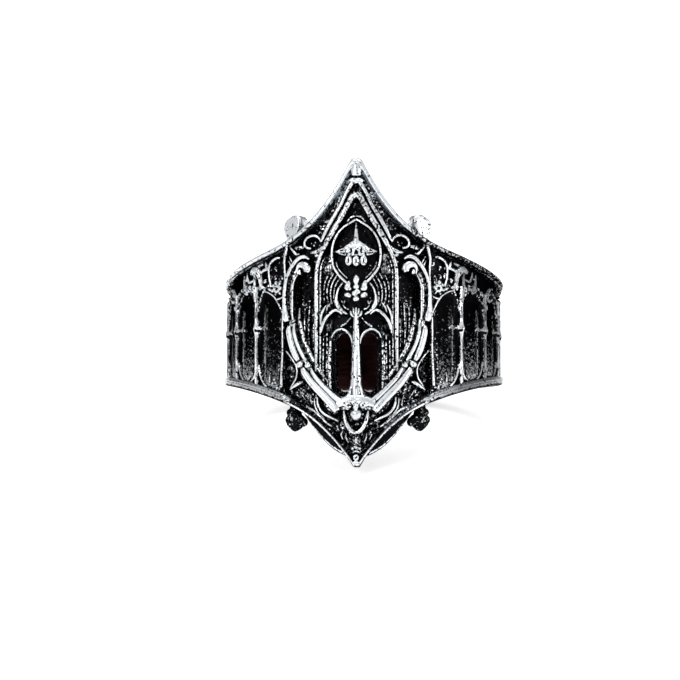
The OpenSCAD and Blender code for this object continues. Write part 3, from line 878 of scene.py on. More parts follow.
# Lines of the gable, as (rows of [arc, height, half width, crest], shine)
GABLE = [
    # outer line, down to the shield frame
    ([[0, 11.62, 0.2, 11.55], [0.26, 11.58, 0.19, 11.5], [0.5, 11.25, 0.17, 11.45],
      [0.85, 10.6, 0.16, 11.45], [1.22, 9.8, 0.16, 11.45], [1.53, 9.3, 0.17, 11.45],
      [1.9, 8.7, 0.18, 11.45], [2.2, 8.2, 0.18, 11.45], [2.5, 7.65, 0.16, 11.45], [2.75, 7.15, 0.14, 11.4],
      [2.95, 6.85, 0.1, 11.3]], 0.95),
    # inner arch
    ([[0, 10.62, 0.26, 11.65], [0.34, 10.32, 0.24, 11.65], [0.6, 9.85, 0.23, 11.65],
      [0.88, 9.35, 0.22, 11.65], [1.22, 8.75, 0.23, 11.62], [1.62, 8.1, 0.23, 11.6],
      [1.96, 7.5, 0.23, 11.6], [2.3, 6.95, 0.22, 11.6], [2.6, 6.4, 0.2, 11.55],
      [2.88, 5.9, 0.18, 11.5]], 0.72),
    # jambs under it, and the thin line inside them
    ([[2.8, 6.05, 0.15, 11.45], [3.06, 5.4, 0.17, 11.5], [3.22, 4.85, 0.17, 11.5],
      [3.29, 4.25, 0.18, 11.5], [3.3, 3, 0.18, 11.5], [3.3, 1.2, 0.18, 11.48], [3.3, -1.2, 0.16, 11.45],
      [3.34, -2.5, 0.13, 11.4], [3.4, -3.5, 0.08, 11.3]], 0.85),
    ([[2.62, 5.7, 0.05, 11.1], [2.88, 5.1, 0.07, 11.2], [3, 4.3, 0.08, 11.25], [3.02, 2, 0.08, 11.25],
      [3.02, -1, 0.08, 11.25], [3.02, -3.6, 0.07, 11.2]], 0.55),
    # small arch over the roundel
    ([[0, 8.9, 0.1, 11.2], [0.4, 8.78, 0.1, 11.2], [0.75, 8.42, 0.08, 11.15]], 0.6),
    # line between the two arches
    ([[0.25, 10.95, 0.05, 11], [0.6, 10.35, 0.06, 11.05], [1.1, 9.4, 0.06, 11.05],
      [1.75, 8.35, 0.06, 11.05], [2.3, 7.4, 0.05, 11]], 0.4),
]


class RING_OT_gable(bpy.types.Operator):
    """Make the gable's nested arches and the jambs under them"""

    bl_idname = "ring.gable"
    bl_label = "Gable"

    def execute(self, context):
        sweep("gable_arches", [path for line, shine in GABLE for path in pair(line, shine=shine)])
        wedge = [[0, 13.36, 0.16, 11.25], [0, 13.1, 0.32, 11.5], [0, 12.7, 0.44, 11.58],
                 [0, 12.35, 0.48, 11.6], [0, 12.12, 0.46, 11.58], [0, 12.0, 0.3, 11.4]]
        knot = [[-0.55, 11.62, 0.12, 11.5], [-0.3, 11.72, 0.18, 11.62], [0, 11.7, 0.17, 11.6],
                [0.3, 11.72, 0.18, 11.62], [0.55, 11.62, 0.12, 11.5]]
        sweep("gable_point", single(wedge, foot=10.8) + single(knot, foot=10.8))
        return {"FINISHED"}


# Lines of the shield frame, as (rows, foot, shine, steps)
SHIELD = [
    # bed
    ([[4.3, 5.3, 0.12, 11.1], [4.9, 5, 0.2, 11.25], [5.35, 4.3, 0.28, 11.4], [5.56, 3.4, 0.34, 11.42],
      [5.6, 2.2, 0.34, 11.42], [5.56, 0.9, 0.34, 11.42], [5.36, -0.3, 0.34, 11.42],
      [5.08, -1.3, 0.34, 11.42], [4.72, -2.1, 0.34, 11.42], [4.3, -2.8, 0.34, 11.42],
      [3.85, -3.55, 0.34, 11.42], [3.3, -4.35, 0.34, 11.42], [2.55, -5.15, 0.34, 11.42],
      [1.85, -5.8, 0.34, 11.42], [1.2, -6.3, 0.32, 11.4], [0.5, -6.5, 0.3, 11.4]], 10.25, 0.55, 6),
    # bevel inside it
    ([[4.98, 1.6, 0.08, 11], [4.95, 0.9, 0.16, 11.2], [4.8, 0.2, 0.22, 11.3], [4.6, -0.6, 0.26, 11.35],
      [4.3, -1.4, 0.27, 11.35], [3.95, -2.1, 0.27, 11.35], [3.5, -2.85, 0.25, 11.3],
      [2.95, -3.65, 0.2, 11.25], [2.5, -4.2, 0.12, 11.1]], 10.2, 0.6, 6),
    # volutes, and the balls in their curls
    ([[4.9, 4.3, 0.08, 11.5], [4.9, 4.72, 0.14, 11.65], [4.62, 4.98, 0.24, 11.8],
      [4.22, 4.94, 0.34, 11.86], [3.98, 4.68, 0.34, 11.88], [4.04, 4.42, 0.26, 11.86]], 10.6, 1.1, 6),
    ([[4.4, 4.42, 0.12, 11.98], [4.47, 4.4, 0.22, 12.02], [4.55, 4.38, 0.22, 12.02],
      [4.62, 4.36, 0.12, 11.98]], 10.9, 1.2, 2),
    # wings over the corbel
    ([[0, -5.85, 0.42, 11.88], [0.5, -5.85, 0.44, 11.9], [1, -6, 0.4, 11.9],
      [1.45, -6.2, 0.32, 11.9]], 10.4, 1.3, 6),
    # outer strands, between the collars
    ([[3.95, 5.45, 0.1, 11.4], [4.2, 5.62, 0.14, 11.6], [4.5, 5.62, 0.17, 11.7], [4.85, 5.42, 0.17, 11.75],
      [5.2, 5.02, 0.16, 11.8], [5.52, 4.52, 0.15, 11.83], [5.74, 4, 0.14, 11.85], [5.88, 3.4, 0.14, 11.87],
      [5.95, 2.7, 0.15, 11.88], [5.95, 1.9, 0.17, 11.88], [5.91, 1.35, 0.22, 11.9], [5.84, 1, 0.3, 11.95],
      [5.8, 0.72, 0.31, 11.95], [5.75, 0.52, 0.2, 11.8]], 10.4, 1.2, 6),
    ([[5.62, 0.14, 0.14, 11.7], [5.58, -0.15, 0.23, 11.85], [5.5, -0.6, 0.26, 11.88],
      [5.34, -1.2, 0.27, 11.9], [5.12, -1.85, 0.27, 11.9], [4.88, -2.35, 0.25, 11.88],
      [4.72, -2.66, 0.16, 11.8]], 10.4, 1.2, 6),
    ([[4.36, -3.3, 0.18, 11.8], [4.2, -3.55, 0.27, 11.88], [3.93, -3.95, 0.29, 11.9],
      [3.6, -4.4, 0.3, 11.9], [3.15, -4.9, 0.31, 11.9], [2.65, -5.4, 0.33, 11.9],
      [2.15, -5.92, 0.35, 11.9], [1.75, -6.35, 0.36, 11.9], [1.48, -6.68, 0.32, 11.85],
      [1.38, -6.8, 0.2, 11.6]], 10.4, 1.2, 6),
    # inner strands, between the collars
    ([[4.9, 4.35, 0.05, 11.4], [5.06, 4.05, 0.06, 11.55], [5.24, 3.6, 0.07, 11.6], [5.32, 3, 0.07, 11.62],
      [5.32, 1.25, 0.08, 11.65], [5.24, 0.65, 0.1, 11.7]], 10.4, 1.2, 6),
    ([[5.16, 0.3, 0.1, 11.6], [5.1, -0.3, 0.15, 11.78], [4.9, -1.05, 0.16, 11.8], [4.6, -1.75, 0.16, 11.8],
      [4.24, -2.4, 0.15, 11.78], [4.05, -2.68, 0.1, 11.7]], 10.4, 1.2, 6),
    ([[3.7, -3.3, 0.12, 11.7], [3.25, -4, 0.18, 11.8], [2.7, -4.62, 0.19, 11.82],
      [2.15, -5.17, 0.2, 11.85], [1.6, -5.68, 0.22, 11.88], [1, -6.1, 0.25, 11.9],
      [0.6, -6.25, 0.22, 11.85]], 10.4, 1.2, 6),
    # collars
    ([[4.66, -2.76, 0.1, 11.8], [4.6, -2.86, 0.3, 12], [4.46, -3.08, 0.3, 12.02],
      [4.38, -3.2, 0.1, 11.8]], 10.8, 1, 3),
    ([[3.98, -2.86, 0.08, 11.8], [3.92, -2.95, 0.24, 11.95], [3.78, -3.14, 0.24, 11.95],
      [3.72, -3.24, 0.08, 11.8]], 10.8, 1, 3),
]


class RING_OT_shield(bpy.types.Operator):
    """Make the shield frame with its collars and volutes"""

    bl_idname = "ring.shield"
    bl_label = "Shield Frame"

    def execute(self, context):
        paths = []
        for line, foot, shine, steps in SHIELD:
            paths += pair(line, foot, shine, steps=steps)
        sweep("shield_frame", paths)
        return {"FINISHED"}


# Fine lines of the panel, as (rows, shine)
STROKES = [
    # roundel, with a fainter line inside its lower half, and the oculus under it
    ([[0, 8.58, 0.09, 11.4], [0.5, 8.28, 0.1, 11.5], [0.97, 7.98, 0.1, 11.52], [1.37, 7.58, 0.1, 11.55],
      [1.7, 7.05, 0.11, 11.55], [1.9, 6.45, 0.11, 11.55], [1.96, 5.9, 0.11, 11.55],
      [1.93, 5.35, 0.11, 11.55], [1.78, 4.72, 0.11, 11.55], [1.46, 4.22, 0.13, 11.55],
      [1.15, 3.86, 0.13, 11.52], [0.85, 3.58, 0.12, 11.48], [0.66, 3.42, 0.1, 11.42]], 1),
    ([[1.68, 5.2, 0.05, 11.2], [1.55, 4.8, 0.07, 11.3], [1.3, 4.42, 0.07, 11.3], [0.98, 4.08, 0.07, 11.3],
      [0.75, 3.9, 0.05, 11.2]], 0.85),
    ([[1.1, 3.52, 0.07, 11.3], [1.26, 3.3, 0.08, 11.4], [1.44, 3, 0.09, 11.45], [1.58, 2.45, 0.12, 11.5],
      [1.58, 2, 0.2, 11.55], [1.42, 1.58, 0.22, 11.55], [1.12, 1.25, 0.15, 11.45],
      [0.72, 1, 0.08, 11.3]], 0.9),
    ([[1.1, 1.75, 0.05, 11.15], [0.9, 1.5, 0.08, 11.25], [0.62, 1.4, 0.06, 11.2]], 0.8),
    ([[1.25, 2.1, 0.05, 11.15], [1.05, 1.85, 0.07, 11.25], [0.95, 2.1, 0.05, 11.15]], 0.8),
    # curved flutes beside the oculus
    ([[1.3, 4.0, 0.05, 11.1], [1.62, 3.5, 0.07, 11.2], [1.8, 2.95, 0.07, 11.25], [1.85, 2.3, 0.07, 11.2],
      [1.75, 1.8, 0.05, 11.1]], 0.7),
    ([[1.6, 4.15, 0.05, 11.1], [1.95, 3.55, 0.07, 11.2], [2.12, 2.9, 0.08, 11.25], [2.1, 2.2, 0.07, 11.2],
      [1.95, 1.7, 0.05, 11.1]], 0.65),
    ([[1.9, 4.3, 0.05, 11.1], [2.28, 3.6, 0.07, 11.2], [2.42, 2.9, 0.08, 11.25], [2.4, 2.2, 0.07, 11.2],
      [2.2, 1.6, 0.05, 11.1]], 0.6),
    ([[2.3, 4.3, 0.05, 11.05], [2.62, 3.6, 0.07, 11.15], [2.72, 2.8, 0.07, 11.15],
      [2.68, 2, 0.06, 11.1]], 0.5),
    # hoods over the slots, with a leaf outside each
    ([[1.15, 1, 0.07, 11.4], [1.38, 1.22, 0.11, 11.55], [1.7, 1.3, 0.14, 11.62], [2.05, 1.08, 0.15, 11.65],
      [2.4, 0.72, 0.15, 11.65], [2.65, 0.3, 0.16, 11.62], [2.82, -0.15, 0.15, 11.55],
      [2.88, -0.5, 0.06, 11.4]], 1),
    ([[2.5, 1.75, 0.05, 11.2], [2.72, 1.3, 0.12, 11.45], [2.86, 0.8, 0.13, 11.5],
      [2.88, 0.2, 0.12, 11.45]], 1),
    ([[2.1, 1.95, 0.05, 11.15], [2.35, 1.6, 0.1, 11.3], [2.5, 1.15, 0.08, 11.25]], 0.8),
    ([[0.45, 0.75, 0.05, 11.1], [0.8, 0.35, 0.09, 11.2], [1.15, 0.12, 0.12, 11.25],
      [1.3, -0.05, 0.08, 11.2]], 0.55),
    ([[0.3, -1.35, 0.08, 11.25], [0.38, -0.92, 0.11, 11.35], [0.62, -0.5, 0.12, 11.4],
      [1, -0.25, 0.12, 11.4], [1.42, -0.2, 0.11, 11.35], [1.82, -0.45, 0.09, 11.3],
      [2.05, -0.85, 0.05, 11.2]], 1),
    # flutes beside the slots
    ([[2.2, -1.1, 0.12, 11], [2.25, -2.2, 0.2, 11.12], [2.25, -3.6, 0.2, 11.15],
      [2.2, -5.2, 0.16, 11.1]], 0.55),
    ([[2.5, -0.3, 0.07, 11], [2.48, -2, 0.09, 11.1], [2.48, -3.5, 0.1, 11.15],
      [2.42, -4.9, 0.08, 11.1]], 0.35),
    ([[2.78, -0.7, 0.06, 11], [2.8, -2.2, 0.07, 11.1], [2.78, -4.4, 0.07, 11.1]], 0.4),
    ([[4.05, 2.2, 0.05, 10.9], [4.08, 0.8, 0.08, 11.05], [4.1, -0.9, 0.08, 11.05],
      [4, -2.2, 0.06, 10.9]], 0.4),
    ([[4.5, 1.6, 0.05, 10.9], [4.5, 0.4, 0.08, 11.05], [4.4, -1, 0.07, 11.05],
      [4.25, -1.9, 0.05, 10.9]], 0.5),
    ([[3.68, 1.2, 0.05, 10.9], [3.7, -0.6, 0.08, 11], [3.72, -2.6, 0.06, 10.9]], 0.3),
    # shafts at the panel's sides, and the pointed openings drawn beside them
    ([[5.98, 7, 0.08, 11.1], [6.05, 6.6, 0.16, 11.35], [6.14, 6, 0.16, 11.4], [6.24, 5.5, 0.14, 11.4],
      [6.2, 4.87, 0.12, 11.4], [6.16, 4.2, 0.1, 11.4], [6.25, 3, 0.09, 11.4], [6.32, 1.5, 0.09, 11.42],
      [6.38, 0.2, 0.09, 11.45], [6.36, -1.6, 0.1, 11.45], [6.4, -2.5, 0.12, 11.45],
      [6.46, -3.5, 0.13, 11.45], [6.55, -4.6, 0.16, 11.4]], 1),
    ([[6.75, 5.72, 0.07, 11.3], [7.02, 5.7, 0.12, 11.4], [7.35, 5.58, 0.13, 11.42],
      [7.7, 5.3, 0.12, 11.42], [7.86, 4.9, 0.12, 11.42], [7.86, 4.4, 0.12, 11.42],
      [7.75, 3.9, 0.12, 11.42], [7.62, 3.4, 0.1, 11.4]], 1),
    ([[8.9, 3.15, 0.06, 11.1], [8.2, 3.02, 0.07, 11.2], [7.5, 2.68, 0.08, 11.25], [7.02, 2.2, 0.1, 11.3],
      [6.72, 1.7, 0.1, 11.3], [6.5, 1.2, 0.06, 11.2]], 0.9),
    ([[6.55, 2.55, 0.07, 11.2], [6.95, 2.4, 0.09, 11.3], [7.3, 2.45, 0.06, 11.2]], 1),
    # scrolls beside the gable
    ([[2.98, 6.85, 0.07, 11.2], [3.08, 7.12, 0.1, 11.35], [3.35, 7.3, 0.12, 11.42],
      [3.7, 7.33, 0.12, 11.42], [4.05, 7.2, 0.12, 11.42], [4.3, 6.92, 0.12, 11.42],
      [4.32, 6.6, 0.12, 11.42], [4.1, 6.38, 0.11, 11.4], [3.8, 6.32, 0.09, 11.3]], 1),
    ([[4.5, 7.65, 0.05, 11], [3.95, 7.9, 0.07, 11.1], [3.45, 8.3, 0.07, 11.1], [3.1, 8.6, 0.05, 11]], 0.55),
    ([[3.05, 5.55, 0.05, 11.1], [3.3, 5.2, 0.07, 11.15], [3.55, 5.3, 0.05, 11.1]], 0.9),
    # pointed openings beside the frame's foot
    ([[6.32, -1.7, 0.06, 11.2], [5.95, -1.98, 0.09, 11.3], [5.55, -2.43, 0.08, 11.3],
      [5.2, -2.98, 0.08, 11.25], [5.08, -3.5, 0.09, 11.25], [5.2, -4.05, 0.09, 11.25],
      [5.58, -4.55, 0.08, 11.2], [5.8, -4.8, 0.05, 11.1]], 0.95),
    ([[5.88, -4.92, 0.06, 11.1], [5.4, -4.68, 0.15, 11.25], [4.95, -4.45, 0.18, 11.3],
      [4.6, -4.28, 0.07, 11.1]], 1),
    ([[3.24, -5.6, 0.09, 11.2], [3.2, -6.1, 0.13, 11.3], [3, -6.55, 0.14, 11.3], [2.6, -6.95, 0.14, 11.3],
      [2.1, -7.2, 0.13, 11.25], [1.5, -7.5, 0.08, 11.1]], 1),
    ([[4.3, -6.35, 0.06, 11.1], [3.7, -6.55, 0.1, 11.2], [3.1, -7.05, 0.12, 11.25],
      [2.5, -7.6, 0.12, 11.2], [2.0, -7.95, 0.07, 11.1]], 0.85),
    ([[0.34, -10.06, 0.06, 11.2], [0.17, -9.96, 0.09, 11.35], [0, -9.9, 0.09, 11.4]], 0.9),
    ([[3.55, -5.7, 0.05, 11.1], [3.45, -6.3, 0.08, 11.2], [3.15, -6.85, 0.08, 11.2],
      [2.65, -7.3, 0.06, 11.1]], 0.75),
    ([[2.85, -5.8, 0.06, 10.9], [2.55, -6.2, 0.26, 11.1], [2.15, -6.6, 0.22, 11.1],
      [1.8, -6.95, 0.06, 10.9]], 0.3),
    # leaf on the shaft's shoulder: a grey face with a bright edge
    ([[5.75, 6.6, 0.05, 10.9], [5.25, 6.42, 0.3, 11.1], [4.75, 6.5, 0.2, 11.05],
      [4.5, 6.6, 0.05, 10.9]], 0.5),
    ([[5.88, 6.62, 0.07, 11.2], [5.5, 6.25, 0.12, 11.3], [5.15, 5.92, 0.13, 11.3],
      [4.95, 5.98, 0.06, 11.1]], 1),
    ([[5.95, 5.75, 0.05, 11.1], [5.75, 5.5, 0.08, 11.15], [5.6, 5.2, 0.05, 11.1]], 0.9),
    ([[6.0, 5.4, 0.05, 11.1], [5.8, 5.1, 0.08, 11.15], [5.75, 4.8, 0.05, 11.1]], 0.9),
    # the drop corbel's outline, and slim leaves under it
    ([[0.98, -6.6, 0.06, 11.5], [0.92, -7, 0.13, 11.7], [0.8, -7.55, 0.17, 11.8], [0.56, -8.05, 0.2, 11.8],
      [0.28, -8.36, 0.21, 11.78], [0, -8.48, 0.16, 11.75]], 1),
    ([[1.1, -8.25, 0.05, 11.05], [1.25, -8.6, 0.07, 11.15], [1.12, -8.95, 0.05, 11.05]], 0.9),
    ([[0.85, -8.5, 0.05, 11.05], [0.8, -8.9, 0.07, 11.15], [0.65, -9.2, 0.05, 11.05]], 0.9),
]


class RING_OT_tracery(bpy.types.Operator):
    """Make the roundel, the oculus, the slots' heads and the fine lines of the panel"""

    bl_idname = "ring.tracery"
    bl_label = "Tracery"

    def execute(self, context):
        slim = (1, 1, 0.82, 1)  # the lines are cut finer than they're listed
        paths = [p for line, shine in STROKES for p in pair(np.multiply(line, slim), shine=shine, steps=4)]
        # drops of the fleuron, eyes of the corbel and scales by the lower point are small closed loops
        loops = [(-0.6, 5.27, 0.16, 0.3, 0.12, 11.6), (0, 5.22, 0.16, 0.3, 0.12, 11.65),
                 (0.6, 5.27, 0.16, 0.3, 0.12, 11.6), (-0.56, -6.3, 0.16, 0.17, 0.09, 12),
                 (0.56, -6.3, 0.16, 0.17, 0.09, 12), (0, -10.42, 0.14, 0.15, 0.1, 11.5),
                 (0, -10.82, 0.11, 0.12, 0.1, 11.45)]
        turn = np.linspace(0, 2 * np.pi, 14, endpoint=False)
        for arc, z, wide, tall, line, crest in loops:
            rest = np.full((14, 2), (line, crest))
            loop = np.column_stack([arc + wide * np.sin(turn), z + tall * np.cos(turn), rest])
            paths.append((loop, 10.3, 1, True))
        sweep("panel_tracery", paths)
        mullion = [[0, 1.2, 0.12, 11.4], [0, 0.9, 0.2, 11.5], [0, 0.27, 0.25, 11.55], [0, -1, 0.3, 11.58],
                   [0, -2.17, 0.36, 11.6], [0, -3.4, 0.43, 11.64], [0, -4.6, 0.52, 11.7],
                   [0, -5.3, 0.62, 11.74], [0, -5.8, 0.75, 11.77], [0, -6.15, 0.6, 11.77]]
        spine = [[0, 1.5, 0.05, 11.45], [0, 1.1, 0.1, 11.6], [0, 0.27, 0.11, 11.64],
                 [-0.04, -2.2, 0.12, 11.68], [-0.08, -4.6, 0.15, 11.78], [-0.02, -5.8, 0.26, 11.88],
                 [0, -6.3, 0.2, 11.85]]
        edge = [[0.3, -4.4, 0.05, 11.6], [0.42, -5, 0.1, 11.75], [0.6, -5.6, 0.16, 11.85],
                [0.95, -6, 0.18, 11.85]]
        tuft = [[[0.08, 0.9, 0.06, 11.4], [0.18, 1.15, 0.09, 11.5], [0.22, 1.45, 0.05, 11.4]],
                [[0.12, 0.75, 0.06, 11.4], [0.36, 0.95, 0.1, 11.5], [0.46, 1.25, 0.05, 11.4]]]
        paths = single(mullion, foot=9.75, shine=0.8) + single(spine, foot=10.6) + pair(edge, foot=10.6)
        for leaf in tuft:
            paths += pair(leaf, foot=10.6)
        sweep("mullion", paths)
        return {"FINISHED"}


# Wax ornament, as strands of [arc, height, radius, thickness]
FLEURON = [
    [[0, 8.35, 11.2, 0.06], [0, 7.9, 11.3, 0.12], [0, 7.4, 11.35, 0.19], [0, 7, 11.4, 0.25],
     [0, 6.6, 11.42, 0.32]],
    [[0, 6.5, 11.38, 0.32], [0, 6.36, 11.38, 0.28]],
]
FLEURON_SIDES = [
    [[0.15, 6.75, 11.35, 0.22], [0.45, 6.5, 11.38, 0.24], [0.75, 6.35, 11.35, 0.2],
     [0.98, 6.25, 11.3, 0.1]],
    [[0.24, 6.2, 11.38, 0.12], [0.22, 6.0, 11.4, 0.13], [0.3, 5.82, 11.38, 0.12]],
    [[0.62, 6.05, 11.42, 0.2], [0.72, 6.05, 11.42, 0.18]],
    [[0.85, 6.3, 11.3, 0.1], [1.2, 6.2, 11.3, 0.06], [1.55, 6.08, 11.25, 0.05], [1.82, 6.02, 11.2, 0.05]],
    [[0.9, 6.02, 11.32, 0.12], [1.3, 5.99, 11.3, 0.06], [1.65, 5.98, 11.25, 0.05],
     [1.95, 5.98, 11.2, 0.05]],
    [[0.88, 5.76, 11.3, 0.1], [1.2, 5.8, 11.28, 0.06], [1.5, 5.88, 11.2, 0.05], [1.78, 5.94, 11.2, 0.05]],
    [[0.25, 5.75, 11.35, 0.13], [0.6, 5.72, 11.35, 0.14]],
]
ROSETTE = [
    [[0, 3.48, 11.42, 0.17], [0, 3.66, 11.42, 0.26], [0.02, 3.82, 11.42, 0.26], [0, 4.04, 11.4, 0.13]],
    [[-0.06, 3.16, 11.42, 0.19], [0.07, 3.18, 11.42, 0.2]],
    [[-0.14, 2.64, 11.42, 0.23], [0.02, 2.7, 11.42, 0.25], [0.15, 2.76, 11.42, 0.22]],
    [[-0.08, 2.18, 11.42, 0.2], [0.06, 2.22, 11.42, 0.22]],
    [[-0.52, 3.02, 11.42, 0.17], [-0.74, 3.08, 11.42, 0.21], [-0.66, 3.3, 11.42, 0.23],
     [-0.6, 3.5, 11.42, 0.16]],
    [[0.52, 3.02, 11.42, 0.18], [0.72, 3.06, 11.42, 0.21], [0.66, 3.3, 11.42, 0.23],
     [0.74, 3.55, 11.42, 0.17]],
    [[-0.8, 2.54, 11.42, 0.17], [-0.66, 2.52, 11.42, 0.2], [-0.54, 2.46, 11.42, 0.17]],
    [[0.55, 2.48, 11.42, 0.22], [0.72, 2.54, 11.42, 0.23]],
]
CORBEL = [
    [[-0.28, -6.18, 11.6, 0.15], [0, -6.4, 11.72, 0.2], [0.28, -6.18, 11.6, 0.15]],
    [[0, -6.78, 11.45, 0.4], [0, -6.95, 11.5, 0.5], [0, -7.08, 11.45, 0.48]],
    [[0, -7.82, 11.5, 0.08]],
    [[-0.2, -8.8, 11.3, 0.1], [0.2, -8.8, 11.3, 0.1]],
    [[0, -8.85, 11.32, 0.15], [0, -9.1, 11.35, 0.15], [0, -9.3, 11.3, 0.1]],
    [[0, -9.62, 11.36, 0.15]],
]
LEAVES = [
    # between the gable's foot and the shield frame
    [[2.85, 6.38, 11.3, 0.1], [3.1, 6.15, 11.35, 0.14], [3.4, 6.0, 11.38, 0.17], [3.78, 5.96, 11.3, 0.1]],
    [[3, 5.74, 11.25, 0.1], [3.35, 5.72, 11.3, 0.12]],
    [[3.5, 6.55, 11.3, 0.11]], [[3.4, 6.78, 11.3, 0.08]], [[3.75, 6.72, 11.25, 0.07]],
    # berries in the small pointed opening and under it
    [[7.25, 4.93, 11.2, 0.14]], [[7.2, 4.7, 11.15, 0.08]], [[6.72, 3.68, 11.25, 0.16]],
    [[7.1, 3.72, 11.3, 0.17]], [[7.45, 3.5, 11.25, 0.15]], [[6.62, 3.25, 11.3, 0.17]],
    [[6.85, 3.42, 11.35, 0.12], [7.15, 3.42, 11.35, 0.12], [7.25, 3.15, 11.35, 0.12],
     [7, 2.98, 11.35, 0.12], [6.8, 3.15, 11.35, 0.12]],
    [[7.5, 3.1, 11.3, 0.16]],
    [[7.8, 3.2, 11.25, 0.14], [8.05, 3.3, 11.2, 0.1]],
    [[6.72, 2.85, 11.25, 0.14]], [[7.25, 2.8, 11.2, 0.12]],
    # scroll on the head of the first column
    [[9.9, 4.7, 11.3, 0.26], [9.5, 4.85, 11.35, 0.33], [9.1, 4.66, 11.38, 0.33], [8.85, 4.25, 11.35, 0.25],
     [8.85, 3.85, 11.3, 0.2], [8.72, 3.48, 11.25, 0.14], [8.45, 3.35, 11.15, 0.1]],
    [[9.75, 4.3, 11.2, 0.15], [9.68, 3.9, 11.25, 0.17], [9.72, 3.4, 11.28, 0.18], [9.62, 2.95, 11.3, 0.15],
     [9.54, 2.3, 11.3, 0.13]],
    [[8.95, 5.32, 11, 0.14], [9.3, 5.18, 11.05, 0.2], [9.65, 5.05, 11, 0.16]],
    [[8.02, 4.95, 11.25, 0.1], [8.22, 5.15, 11.25, 0.15], [8.42, 5.48, 11.15, 0.08]],
    [[8.0, 4.9, 11.25, 0.11], [8.3, 4.85, 11.28, 0.14], [8.65, 4.75, 11.3, 0.15]],
    # the second column's head
    [[10.98, 4.72, 11.15, 0.1], [10.76, 4.32, 11.25, 0.13], [10.4, 3.95, 11.3, 0.13],
     [9.98, 4.06, 11.25, 0.1], [9.6, 4.22, 11.2, 0.07]],
    [[11.5, 4.5, 11.1, 0.12], [11.3, 4.1, 11.2, 0.15], [11.2, 3.75, 11.25, 0.15],
     [11.05, 3.45, 11.25, 0.17], [10.7, 3.28, 11.25, 0.18]],
    [[10.38, 3.35, 11.25, 0.22]],
    [[11.7, 3.48, 11.1, 0.14], [11.3, 3.18, 11.15, 0.16], [10.9, 3.05, 11.2, 0.14]],
    [[14.3, 3.6, 11, 0.14], [13.8, 3.5, 11.1, 0.2], [13.3, 3.12, 11.15, 0.2], [12.9, 2.9, 11.15, 0.16]],
    [[14.5, 2.8, 11.1, 0.14], [13.9, 2.62, 11.15, 0.16], [13.4, 2.75, 11.1, 0.12]],
    [[13, 1.95, 11.25, 0.16], [12.72, 2.12, 11.3, 0.2], [12.35, 2.38, 11.2, 0.12]],
    # sprigs outside the frame's foot
    [[4.95, -4.95, 11, 0.05], [4.7, -5.3, 11.1, 0.07], [4.4, -5.75, 11, 0.05]],
    [[4.5, -4.7, 11, 0.06], [4.38, -5.05, 11.1, 0.08]],
    [[5.35, -5.1, 11, 0.06], [5.15, -5.32, 11.05, 0.08], [4.95, -5.5, 11, 0.05]],
    [[4.05, -5.25, 11, 0.05], [3.88, -5.7, 11.1, 0.07], [3.82, -6.1, 11, 0.05]],
    [[4.35, -6.15, 11, 0.05], [4.05, -6.45, 11.05, 0.08], [3.7, -6.7, 11, 0.05]],
    [[4.15, -4.75, 11, 0.07]], [[4.8, -5.85, 11, 0.08]], [[3.55, -6.95, 11, 0.08]], [[4.6, -5.1, 11, 0.06]],
    [[3.2, -7.3, 11, 0.07]], [[1.9, -8.0, 11, 0.06]], [[2.3, -7.75, 11, 0.05]], [[0.6, -9.5, 11, 0.05]],
    # grass at the foot of the first niche
    [[8, -3.5, 11, 0.06], [7.98, -3.85, 11.1, 0.09], [7.95, -4.2, 11.1, 0.09]],
    [[7.45, -4.05, 11.1, 0.12]], [[7.3, -4.3, 11.15, 0.12]], [[7.6, -4.35, 11.15, 0.12]],
    [[8.3, -3.75, 11, 0.07]],
    [[7.2, -4.55, 11.1, 0.1], [7.05, -4.8, 11.2, 0.14]],
]


class RING_OT_ornament(bpy.types.Operator):
    """Make the cast ornament: fleuron, rosette, corbel, capitals and leaves"""

    bl_idname = "ring.ornament"
    bl_label = "Cast Ornament"

    def execute(self, context):
        fleuron = FLEURON + mirrored(FLEURON_SIDES) + [[[0, 5.72, 11.35, 0.1]]]
        cast("fleuron", fleuron, voxel=0.04, base=11.15, crest=11.4)
        cast("rosette", ROSETTE, voxel=0.03, base=11.25, crest=11.42, wear=(0, 1.1))
        corbel = CORBEL + mirrored([[[0.3, -9.7, 11.36, 0.14]]])
        cast("corbel", corbel, voxel=0.04, base=11.25, crest=11.55, wear=(-0.2, 1.15), grey=0.16)
        cast("leaves", mirrored(LEAVES), base=10.85, crest=11.2, wear=(-0.1, 0.85), grey=0.12)
        return {"FINISHED"}


# Wax of the lower crockets, as strands too
LUGS = [
    [[5.75, -5.8, 10.3, 0.5], [5.78, -6.6, 10.35, 0.55], [5.75, -7.3, 10.4, 0.72], [5.7, -7.5, 10.4, 0.72]],
    [[5.15, -7.35, 10.55, 0.48]], [[4.85, -7.5, 10.5, 0.4]], [[5.65, -7.85, 10.55, 0.42]],
    [[6.25, -7.3, 10.55, 0.38]], [[6.2, -6.7, 10.6, 0.3]], [[5.7, -7.3, 10.95, 0.22]],
    [[5.3, -7.6, 10.8, 0.24]], [[6.1, -7.6, 10.8, 0.24]], [[5.9, -6.9, 10.85, 0.2]],
]


